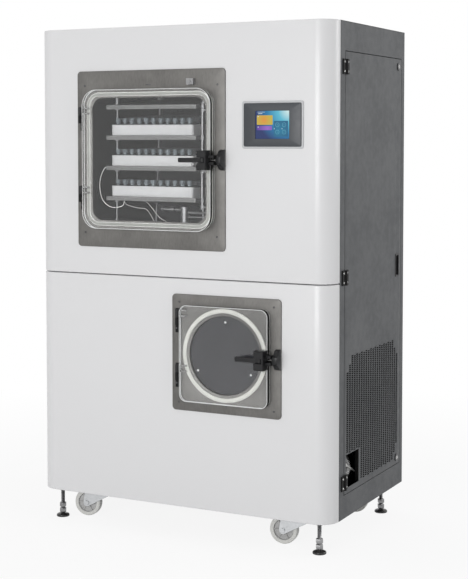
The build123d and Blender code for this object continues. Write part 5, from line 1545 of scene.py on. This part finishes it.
def makeGrille():
    # each column of slots is half a pitch above or below its neighbour
    s = sideDoor
    slotW, slotH = s["slot"]
    stepYs, stepZs = stepLines()
    columnMiddles = grilleLow[1] + (np.arange(s["columns"]) + 0.5) * pitchY
    rowMiddles = grilleLow[2] + (np.arange(2 * s["rows"]) + 0.5) * pitchZ / 2
    ys = np.concatenate([columnMiddles - slotW / 2, columnMiddles + slotW / 2, *stepYs, [cutY]])
    zs = np.concatenate([rowMiddles - slotH / 2, rowMiddles + slotH / 2, *stepZs, [cutZ]])
    ys = np.unique(np.round(ys[(ys > grilleLow[1] - 1e-6) & (ys < grilleHigh[1] + 1e-6)], 5))
    zs = np.unique(np.round(zs[(zs > grilleLow[2] - 1e-6) & (zs < grilleHigh[2] + 1e-6)], 5))
    y, z = np.meshgrid((ys[1:] + ys[:-1]) / 2, (zs[1:] + zs[:-1]) / 2)
    column = np.floor((y - grilleLow[1]) / pitchY)
    slotY = grilleLow[1] + (column + 0.5) * pitchY
    phase = np.mod((z - grilleLow[2]) / pitchZ - np.where(column % 2 == 0, 0.25, 0.75) + 0.5, 1.0) - 0.5
    slotZ = z - phase * pitchZ
    slot = (np.abs(y - slotY) < slotW / 2) & (np.abs(phase) * pitchZ < slotH / 2)
    reachY, reachZ = slotW / 2 + s["slotRim"], slotH / 2 + s["slotRim"]
    for sideY in (-1, 1):
        for sideZ in (-1, 1):
            slot &= inGrille(slotY + sideY * reachY, slotZ + sideZ * reachZ)
    slot &= (slotY - reachY > cutY) | (slotZ - reachZ > cutZ)
    solid = inGrille(y, z) & ~slot & ((y > cutY) | (z > cutZ))
    sheet = sheetWithHoles(np.array([skinX, 0.0, 0.0]), back, up, ys, zs, solid, s["grilleSheet"])
    addPiece("grilleSheet", [sheet], "service_door", "grey_panel", ["vent_grille"])


def makeShadeMat():
    # a black sheet behind the slots, painted shade for the dark inside of the cabinet, that leaves the cut-out
    # free
    x = skinX - np.array(sideDoor["mat"])
    low, high = grilleLow - 0.004, grilleHigh + 0.004
    y, z = cutY - 0.002, cutZ - 0.002
    mats = [softBox((x[0], low[1], z), (x[1], high[1], high[2])),
            softBox((x[0], y, low[2]), (x[1], high[1], z))]
    addPiece("shadeMat", mats, "service_door", "grey_panel", material=paintedShadeBlack)


def makePull():
    # a flanged cup with rounded rims, let into the door
    middle = (pullLow + pullHigh) / 2
    centre = np.array([skinX, middle[1], middle[2]])
    wide, tall = (pullHigh - pullLow)[1:]
    # how far each row is in from the flange's edge, its corner radius and its depth
    rows = [(0.0045, 0.004, -0.0158), (0.0045, 0.004, -0.0004), (0.0, 0.004, 0.0), (0.0, 0.004, 0.0010)]
    rows += [(0.0004, 0.0038, 0.0018), (0.0013, 0.003, 0.0020), (0.0045, 0.005, 0.0020),
             (0.0055, 0.005, 0.0012)]
    rows += [(0.0065, 0.005, -0.0100), (0.0100, 0.004, -0.0138)]
    rows = [(wide - 2 * inset, tall - 2 * inset, corner, depth) for inset, corner, depth in rows]
    cup = sectionLoft(centre, back, up, rows, steps=8)
    addPiece("pullCup", [cup], "service_door", "black_plastic", ["door_pull"])


def makeLocks():
    for name in ("upper", "lower"):
        pin = hingeOf(name + "_lock_turn")[0]
        soften(name + "_cam_lock", darkSteel, 0.0006)
        centre = np.array([skinX, pin[1], pin[2]])
        profile = [(nearAxis, 0.0030), (0.0062, 0.0030), (0.0064, 0.0034), (0.0060, 0.0040),
                   (nearAxis, 0.0040)]
        core = lathe(centre, right, profile, 28)
        slot = softBox(centre + [0.0034, -0.0009, -0.0038], centre + [0.0043, 0.0009, 0.0038], 0.0003)
        addPiece(name + "LockCore", [core], name + "_lock", "bright_metal")
        addPiece(name + "LockSlot", [slot], name + "_lock", "bright_metal",
                 material=finishes["black_plastic"])


def makeLeafScrews():
    s = sideDoor
    pin = hingeOf("service_door_swing")[0]
    leafLow, leafHigh = span("side_hinge_leaves")
    lowest = leafLow[2] + s["leafHalf"]
    levels = (lowest, lowest + s["middleHinge"], leafHigh[2] - s["leafHalf"])
    rises = (-s["screwRise"], s["screwRise"])
    for side, body, label in ((1, "service_door", "doorLeafScrews"), (-1, "root", "jambLeafScrews")):
        y = pin[1] + side * s["screwSide"]
        heads = [sideScrew(y, z + rise) for z in levels for rise in rises]
        addPiece(label, heads, body, "black_plastic", material=finishes["bright_metal"])


def sideScrew(y, z):
    place = np.array([skinX + sideDoor["screwForward"], y, z])
    return screwHead(place, right, sideDoor["screwRadius"], sideDoor["screwHeight"])


makeDoorSheet()
makeGrille()
makeShadeMat()
makePull()
makeLocks()
soften("side_hinge_plates", hingeBlack, 0.0006)
soften("side_hinge_leaves", hingeBlack, 0.0006)
makeLeafScrews()
print("service door made")


# folded panels with eased edges and the screws that hold them

for name in ("side_panel_left", "side_panel_right", "back_panel", "top_cover"):
    soften(name, finishes["grey_panel"], 0.0010)
soften("cabinet_frame", finishes["frame_paint"], 0.0012)
soften("foot_bosses", finishes["frame_paint"], 0.0008)
screws = {
    "radius": 0.0042,
    "height": 0.0020,
    "margin": 0.014,  # from the side edges of the top and the back
    "endMargin": 0.02,  # from the upper and lower edges of the back, and the left panel's edges
    "topRow": (0.09, 0.12, 3),  # where a row starts and ends, from the panel's edges, and its count
    "topRearCount": 5,
    "backSideCount": 6,
    "backEndRow": (0.2, 4),
    "leftRow": (0.03, 5),
}


def panelHeads(places, axis):
    return [screwHead(np.array(place), axis, screws["radius"], screws["height"]) for place in places]


def makePanelScrews():
    s = screws
    margin, end = s["margin"], s["endMargin"]
    low, high = span("top_cover")
    sides = (low[0] + margin, high[0] - margin)
    front, rear, count = s["topRow"]
    places = [(x, high[1] - margin, high[2]) for x in np.linspace(*sides, s["topRearCount"])]
    places += [(x, y, high[2]) for y in np.linspace(low[1] + front, high[1] - rear, count) for x in sides]
    heads = panelHeads(places, up)
    low, high = span("back_panel")
    sides, ends = (low[0] + margin, high[0] - margin), (low[2] + end, high[2] - end)
    inset, count = s["backEndRow"]
    places = [(x, high[1], z) for z in np.linspace(*ends, s["backSideCount"]) for x in sides]
    places += [(x, high[1], z) for x in np.linspace(low[0] + inset, high[0] - inset, count) for z in ends]
    addPiece("panelScrews", heads + panelHeads(places, back), "root", "grey_panel",
             material=finishes["zinc_plate"])
    low, high = span("side_panel_left")
    inset, count = s["leftRow"]
    heights = np.linspace(low[2] + inset, high[2] - inset, count)
    heads = panelHeads([(low[0], y, z) for z in heights for y in (low[1] + end, high[1] - end)], -right)
    addPiece("leftPanelScrews", heads, "root", "grey_panel", material=darkSteel)


makePanelScrews()
print("panels made")


# casters: two-part wheels, eased forks, and bolts through the plates

caster = {
    "tyreInner": 0.0345,
    "tyreRadius": 0.047,
    "halfWidth": 0.013,
    "shoulder": 0.004,
    "hubRadius": 0.0135,
    "webHalf": 0.0060,
    "ribCount": 6,
    "ribHalf": (0.0011, 0.0102),  # half a rib's thickness and half its depth along the axle
    "boltPlaces": (0.030, 0.023),
    "boltRadius": 0.0060,
    "boltHeight": 0.0024,
    "plateThickness": 0.004,
}
places = ("front_left", "front_right", "rear_left", "rear_right")


def makeWheel(place):
    c = caster
    name = "caster_wheel_" + place
    centre, axis = middleOf(name), hingeOf("wheel_spin_" + place)[1]
    r, w, s = c["tyreRadius"], c["halfWidth"], c["shoulder"]
    a = np.linspace(0, pi / 2, 5)
    rim = np.stack([r - s * (1 - np.sin(a)), -w + s * (1 - np.cos(a))], axis=1)
    tread = np.concatenate([rim, rim[::-1] * [1, -1]])
    inner = [(c["tyreInner"], w - 0.0006), (c["tyreInner"], -w + 0.0006)]
    tyre = lathe(centre, axis, np.concatenate([tread, inner]), 72, True)
    addPiece("tyre_" + place, [tyre], "wheel_" + place, "wheel_nylon", [name])
    web, hub = c["webHalf"], c["hubRadius"]
    outer = c["tyreInner"] + 0.0002
    profile = [(0.0051, -w), (hub - 0.001, -w), (hub, -w + 0.001), (hub + 0.001, -web - 0.001),
               (hub + 0.003, -web)]
    profile += [(outer - 0.003, -web), (outer - 0.0015, -web - 0.002), (outer - 0.0005, -w + 0.0012)]
    profile += [(outer, -w + 0.0010)]
    profile = np.array(profile)
    core = lathe(centre, axis, np.concatenate([profile, profile[::-1] * [1, -1]]), 60, True)
    side = np.cross(axis, up)
    thin, deep = c["ribHalf"]
    outline = np.array([[-1, -1], [1, -1], [1, 1], [-1, 1]]) * [(outer - hub) / 2 - 0.001, thin]
    rib = prism(centre + side * (hub + outer) / 2, side, np.cross(axis, side), outline, -deep, deep)
    ribs = [turned(rib, centre, axis, 360.0 / c["ribCount"] * k) for k in range(c["ribCount"])]
    addPiece("wheelCore_" + place, [core, *ribs], "wheel_" + place, "wheel_nylon", material=wheelCore)


def makeSwivel(place):
    pivot = hingeOf("caster_swivel_" + place)[0]
    top = span("caster_fork_" + place)[1][2]
    race = [(0.0145, 0.0001), (0.0250, 0.0001), (0.0262, 0.0009), (0.0262, 0.0020), (0.0250, 0.0027),
            (0.0145, 0.0027)]
    soften("caster_fork_" + place, forkZinc, 0.0007)
    ring = lathe(np.array([pivot[0], pivot[1], top]), up, race, 40, True)
    addPiece("swivelRace_" + place, [ring], "fork_" + place, "zinc_plate", material=forkZinc)


def makeBolts():
    c = caster
    under = span("caster_plates")[1][2] - c["plateThickness"]
    hexagon = circleOutline(c["boltRadius"], 6)
    bx, by = c["boltPlaces"]
    heads = []
    for place in places:
        pivot = hingeOf("caster_swivel_" + place)[0]
        for x, y in ((-bx, -by), (-bx, by), (bx, -by), (bx, by)):
            spot = np.array([pivot[0] + x, pivot[1] + y, under])
            heads.append(prism(spot, right, back, hexagon, -c["boltHeight"], 0.0001))
    addPiece("casterBolts", heads, "root", "zinc_plate")


for place in places:
    makeWheel(place)
    makeSwivel(place)
soften("caster_plates", finishes["zinc_plate"], 0.0007)
makeBolts()
print("casters made")


# levelling feet: domed pad, threaded stem and two lock nuts

foot = {
    "padRadius": 0.0225,
    "neckRadius": 0.0075,
    "rimHeight": 0.0045,
    "domeHeight": 0.0065,
    "stemRadius": 0.0068,
    "threadDepth": 0.0008,
    "pitch": 0.0022,
    "nutRadius": 0.0125,
    "nutHeight": 0.0145,
    "nutLevels": (0.0150, 0.0340),
}


def makeFoot(place):
    f = foot
    name = "levelling_foot_" + place
    base, top = middleOf(name) * [1, 1, 0], span(name)[1][2]
    r, neck, rim = f["padRadius"], f["neckRadius"], f["rimHeight"]
    pad = [(nearAxis, 0.0), (r - 0.001, 0.0), (r, 0.001), (r, rim)]
    angles = np.linspace(0.15, pi / 2, 8)
    pad += [(neck + (r - neck) * cos(a), rim + f["domeHeight"] * sin(a)) for a in angles]
    pad += [(neck, 0.0125), (nearAxis, 0.0125)]
    dome = lathe(base, up, pad, 48)
    addPiece("footPad_" + place, [dome], "foot_" + place, "black_foot", [name])
    turns = np.arange(0.0120, top - 0.0008, f["pitch"] / 2)
    thread = [(f["stemRadius"] - (f["threadDepth"] if i % 2 else 0.0), z) for i, z in enumerate(turns)]
    stem = lathe(base, up, [(nearAxis, 0.0115), *thread, (nearAxis, top)], 20)
    # each nut narrows to 0.90 of its width at both ends
    tall, hexagon = f["nutHeight"], circleOutline(f["nutRadius"], 6)
    sections = ((0.90, 0.0), (1.0, 0.0016), (1.0, tall - 0.0016), (0.90, tall))
    nut = np.array([np.concatenate([share * hexagon, np.full((6, 1), z)], axis=1) for share, z in sections])
    nuts = [loft(nut + base + up * start) for start in f["nutLevels"]]
    addPiece("footStem_" + place, [stem, *nuts], "foot_" + place, "black_foot", material=footSteel)


for place in places:
    makeFoot(place)
print("feet made")


# machinery: ribbed hose, compressor can, pump, heat exchanger, valve and duct

machine = {
    "hoseSides": 28,
    "hoseRings": 26,
    "hoseSwell": 0.0022,
    "hoseBend": 0.032,
    "hoseRadius": 0.021,
    # the pale rod across the hose: its ends behind the front plane and above the floor
    "rodEnds": ((0.181, 0.262), (0.286, 0.214)),
    "rodRadius": 0.0032,
    "canRadius": 0.095,
    "canPlace": 0.103,  # the can's middle from the left end of its node
    "domeRound": 0.040,
    "weldHeight": 0.45,  # as a part of the can's height
    "terminalBox": (0.040, 0.060, 0.060),
    # the can's two pipe stubs: degrees round it and heights above its base
    "stubs": ((200.0, 0.20), (250.0, 0.055)),
}


def makeHose():
    # the hose swells and narrows along its half turn, with a collar at each end and a rod across it
    m = machine
    bend, radius, rings = m["hoseBend"], m["hoseRadius"], m["hoseRings"]
    x = span("pump_hose")[0][0]
    _, y, z = middleOf("pump_hose")
    a = np.linspace(-pi / 2, pi / 2, rings * 6)
    path = np.stack([x + 0.002 + bend * np.cos(a), np.full(len(a), y), z + bend * np.sin(a)], axis=1)
    swell = m["hoseSwell"] * np.abs(np.sin(np.linspace(0, rings * pi, len(a))))
    parts = [tube(path, radius - m["hoseSwell"] + swell, m["hoseSides"])]
    collar = [(radius - 0.002, -0.002), (radius + 0.003, -0.002), (radius + 0.004, -0.001)]
    collar += [(radius + 0.004, 0.007), (radius + 0.003, 0.008), (radius - 0.002, 0.008)]
    parts += [lathe(np.array([x, y, level]), right, collar, 48, True) for level in (z - bend, z + bend)]
    addPiece("ribbedHose", parts, "root", "bright_metal", ["pump_hose"], material=hoseSteel)
    ends = [np.array([x + 0.002 + bend + radius, frontY + deep, level]) for deep, level in m["rodEnds"]]
    knob = [(0.0052, -0.004), (0.0058, -0.003), (0.0058, 0.003), (0.0052, 0.004)]
    parts = [tube(np.linspace(*ends, 12), m["rodRadius"], 12), *(lathe(end, right, knob, 18) for end in ends)]
    addPiece("hoseRod", parts, "root", "bright_metal", material=finishes["white_lead"])


def makeCompressor():
    # a welded can with a domed top, its flange, feet and terminal box
    m = machine
    low, high = span("compressor")
    centre = np.array([low[0] + m["canPlace"], (low[1] + high[1]) / 2, 0.0])
    base, top = low[2] + 0.009, high[2]
    r, tall, bend = m["canRadius"], top - base, m["domeRound"]
    dome = [(r - bend * (1 - cos(a)), tall - bend * (1 - sin(a))) for a in np.linspace(0, pi / 2, 9)]
    weld = m["weldHeight"] * tall
    profile = [(nearAxis, 0.0), (r - 0.022, 0.0), (r - 0.006, 0.014), (r, 0.022), (r, weld - 0.001)]
    profile += [(r + 0.004, weld), (r + 0.004, weld + 0.006), (r, weld + 0.007)]
    can = lathe(centre + [0, 0, base], up, [*profile, *dome, (nearAxis, tall)], 72)
    reach = r + 0.008
    plateLow = centre + [-reach, -reach, base]
    parts = [can, softBox(plateLow, centre + [reach, reach, base + 0.004], 0.0015)]
    boxLow = centre + [r - 0.014, -0.030, base + weld + 0.020]
    parts.append(softBox(boxLow, boxLow + m["terminalBox"], 0.004, 4))
    rubberFoot = [(0.010, 0.0), (0.011, 0.001), (0.009, 0.0045), (0.011, 0.008), (0.010, 0.009)]
    for x, y in ((-1, -1), (-1, 1), (1, -1), (1, 1)):
        leg = centre + [x * (reach - 0.014), y * (reach - 0.014), low[2]]
        parts.append(lathe(leg, up, rubberFoot, 20))
        parts.append(lathe(leg + [0, 0, 0.0128], up, [(0.0065, 0.0), (0.0065, 0.004), (0.0058, 0.005)], 6))
    parts.append(lathe(centre + [0, 0, base + tall - 0.001], up,
                       [(0.010, 0.0), (0.010, 0.005), (0.009, 0.006)], 24))
    stub = [(0.0075, 0.0), (0.0075, 0.010), (0.0055, 0.011), (0.0055, 0.030), (0.0045, 0.030)]
    for turn, z in m["stubs"]:
        way = np.array([cos(radians(turn)), sin(radians(turn)), 0.0])
        parts.append(lathe(centre + [0, 0, base + z] + way * (r - 0.004), way, stub, 20))
    addPiece("compressorCan", parts, "root", "black_enamel", ["compressor"])


makeHose()
makeCompressor()
soften("vacuum_pump", finishes["pump_enamel"], 0.0016)
soften("heat_exchanger", finishes["aluminium"], 0.0008)
soften("isolation_valve", finishes["aluminium"], 0.0012)
soften("vapour_duct", finishes["brushed_steel"], 0.0010)
print("machinery made")


# floor, light and camera

studio = {
    "floorRadius": 9.0,
    "floorSides": 64,
    "whiteFrom": 1.1,  # metres from the middle where the floor starts to fade to white
    "whiteTo": 2.6,
    "floorColour": (0.86, 0.86, 0.865),
    "contactShade": 0.11,  # how much of the floor's own shading shows near the cabinet
    "worldLight": 0.46,
    # a nearly level camera with the lens shifted down, so uprights stay almost upright
    "cameraPlace": (2.1965, -4.2101, 1.3185),
    "cameraTurn": 26.883,
    "cameraTilt": 3.0,
    "lens": 85.124,
    "shift": -0.1337,
    "lampRows": (
        # name, place, aimed at, width, height, watts
        ("keyLamp", (0.2, -7.5, 1.8), (0.0, 0.0, 0.8), 3.0, 2.6, 242.0),
        ("sideLamp", (4.4, 2.6, 2.3), (0.2, 0.0, 0.8), 2.0, 2.4, 60.0),
        ("topLamp", (-0.6, 0.8, 4.6), (0.0, 0.0, 1.0), 3.0, 3.0, 30.0),
    ),
}


def seenPlainly(tree):
    # 1 for the rays that show the background itself, 0 for those that carry its light
    path = tree.nodes.new("ShaderNodeLightPath")
    seen = maths(tree, "MAXIMUM", path.outputs["Is Camera Ray"], path.outputs["Is Transmission Ray"])
    return maths(tree, "MAXIMUM", seen, path.outputs["Is Glossy Ray"])


def makeFloor():
    sides = studio["floorSides"]
    flat = np.concatenate([circleOutline(studio["floorRadius"], sides), np.zeros((sides, 1))], axis=1)
    floor = newObject("studioFloor", [(flat, [list(range(sides))])], None)
    colour = (*studio["floorColour"], 1.0)
    material, tree, shader = newMaterial("floorWhite", Roughness=0.75, Base_Color=colour,
                                         Specular_IOR_Level=0.2)
    place = tree.nodes.new("ShaderNodeTexCoord")
    far = tree.nodes.new("ShaderNodeVectorMath")
    far.operation = "LENGTH"
    link(tree, place.outputs["Object"], far.inputs[0])
    fade = remap(tree, far.outputs["Value"], studio["whiteFrom"], studio["whiteTo"],
                 1.0 - studio["contactShade"], 1.0)
    glow = tree.nodes.new("ShaderNodeEmission")
    mix = tree.nodes.new("ShaderNodeMixShader")
    link(tree, maths(tree, "MULTIPLY", fade, seenPlainly(tree)), mix.inputs[0])
    link(tree, shader.outputs[0], mix.inputs[1])
    link(tree, glow.outputs[0], mix.inputs[2])
    link(tree, mix.outputs[0], tree.nodes["Material Output"].inputs["Surface"])
    floor.data.materials.append(material)


def makeWorld():
    world = bpy.data.worlds.new("studioWorld")
    scene.world = world
    world.use_nodes = True
    tree = world.node_tree
    background = tree.nodes["Background"]
    background.inputs["Color"].default_value = (1.0, 1.0, 1.0, 1.0)
    strength = remap(tree, seenPlainly(tree), 0.0, 1.0, studio["worldLight"], 1.0)
    link(tree, strength, background.inputs["Strength"])


def makeLamps():
    for name, place, aim, width, height, watts in studio["lampRows"]:
        lamp = bpy.data.lights.new(name, "AREA")
        lamp.shape = "RECTANGLE"
        lamp.size, lamp.size_y = width, height
        lamp.energy = watts
        holder = bpy.data.objects.new(name, lamp)
        holder.location = place
        aimed = Vector(aim) - Vector(place)
        holder.rotation_euler = aimed.to_track_quat("-Z", "Y").to_euler()
        holder.visible_transmission = False
        scene.collection.objects.link(holder)


def makeCamera():
    s = studio
    data = bpy.data.cameras.new("studioCamera")
    data.lens = s["lens"]
    data.sensor_width = 36.0
    data.sensor_fit = "AUTO"
    data.shift_y = s["shift"]
    holder = bpy.data.objects.new("studioCamera", data)
    holder.location = s["cameraPlace"]
    holder.rotation_euler = (radians(90.0 - s["cameraTilt"]), 0.0, radians(s["cameraTurn"]))
    scene.collection.objects.link(holder)
    scene.camera = holder


makeFloor()
makeWorld()
makeLamps()
makeCamera()
scene.view_settings.view_transform = "Standard"
print("studio ready")
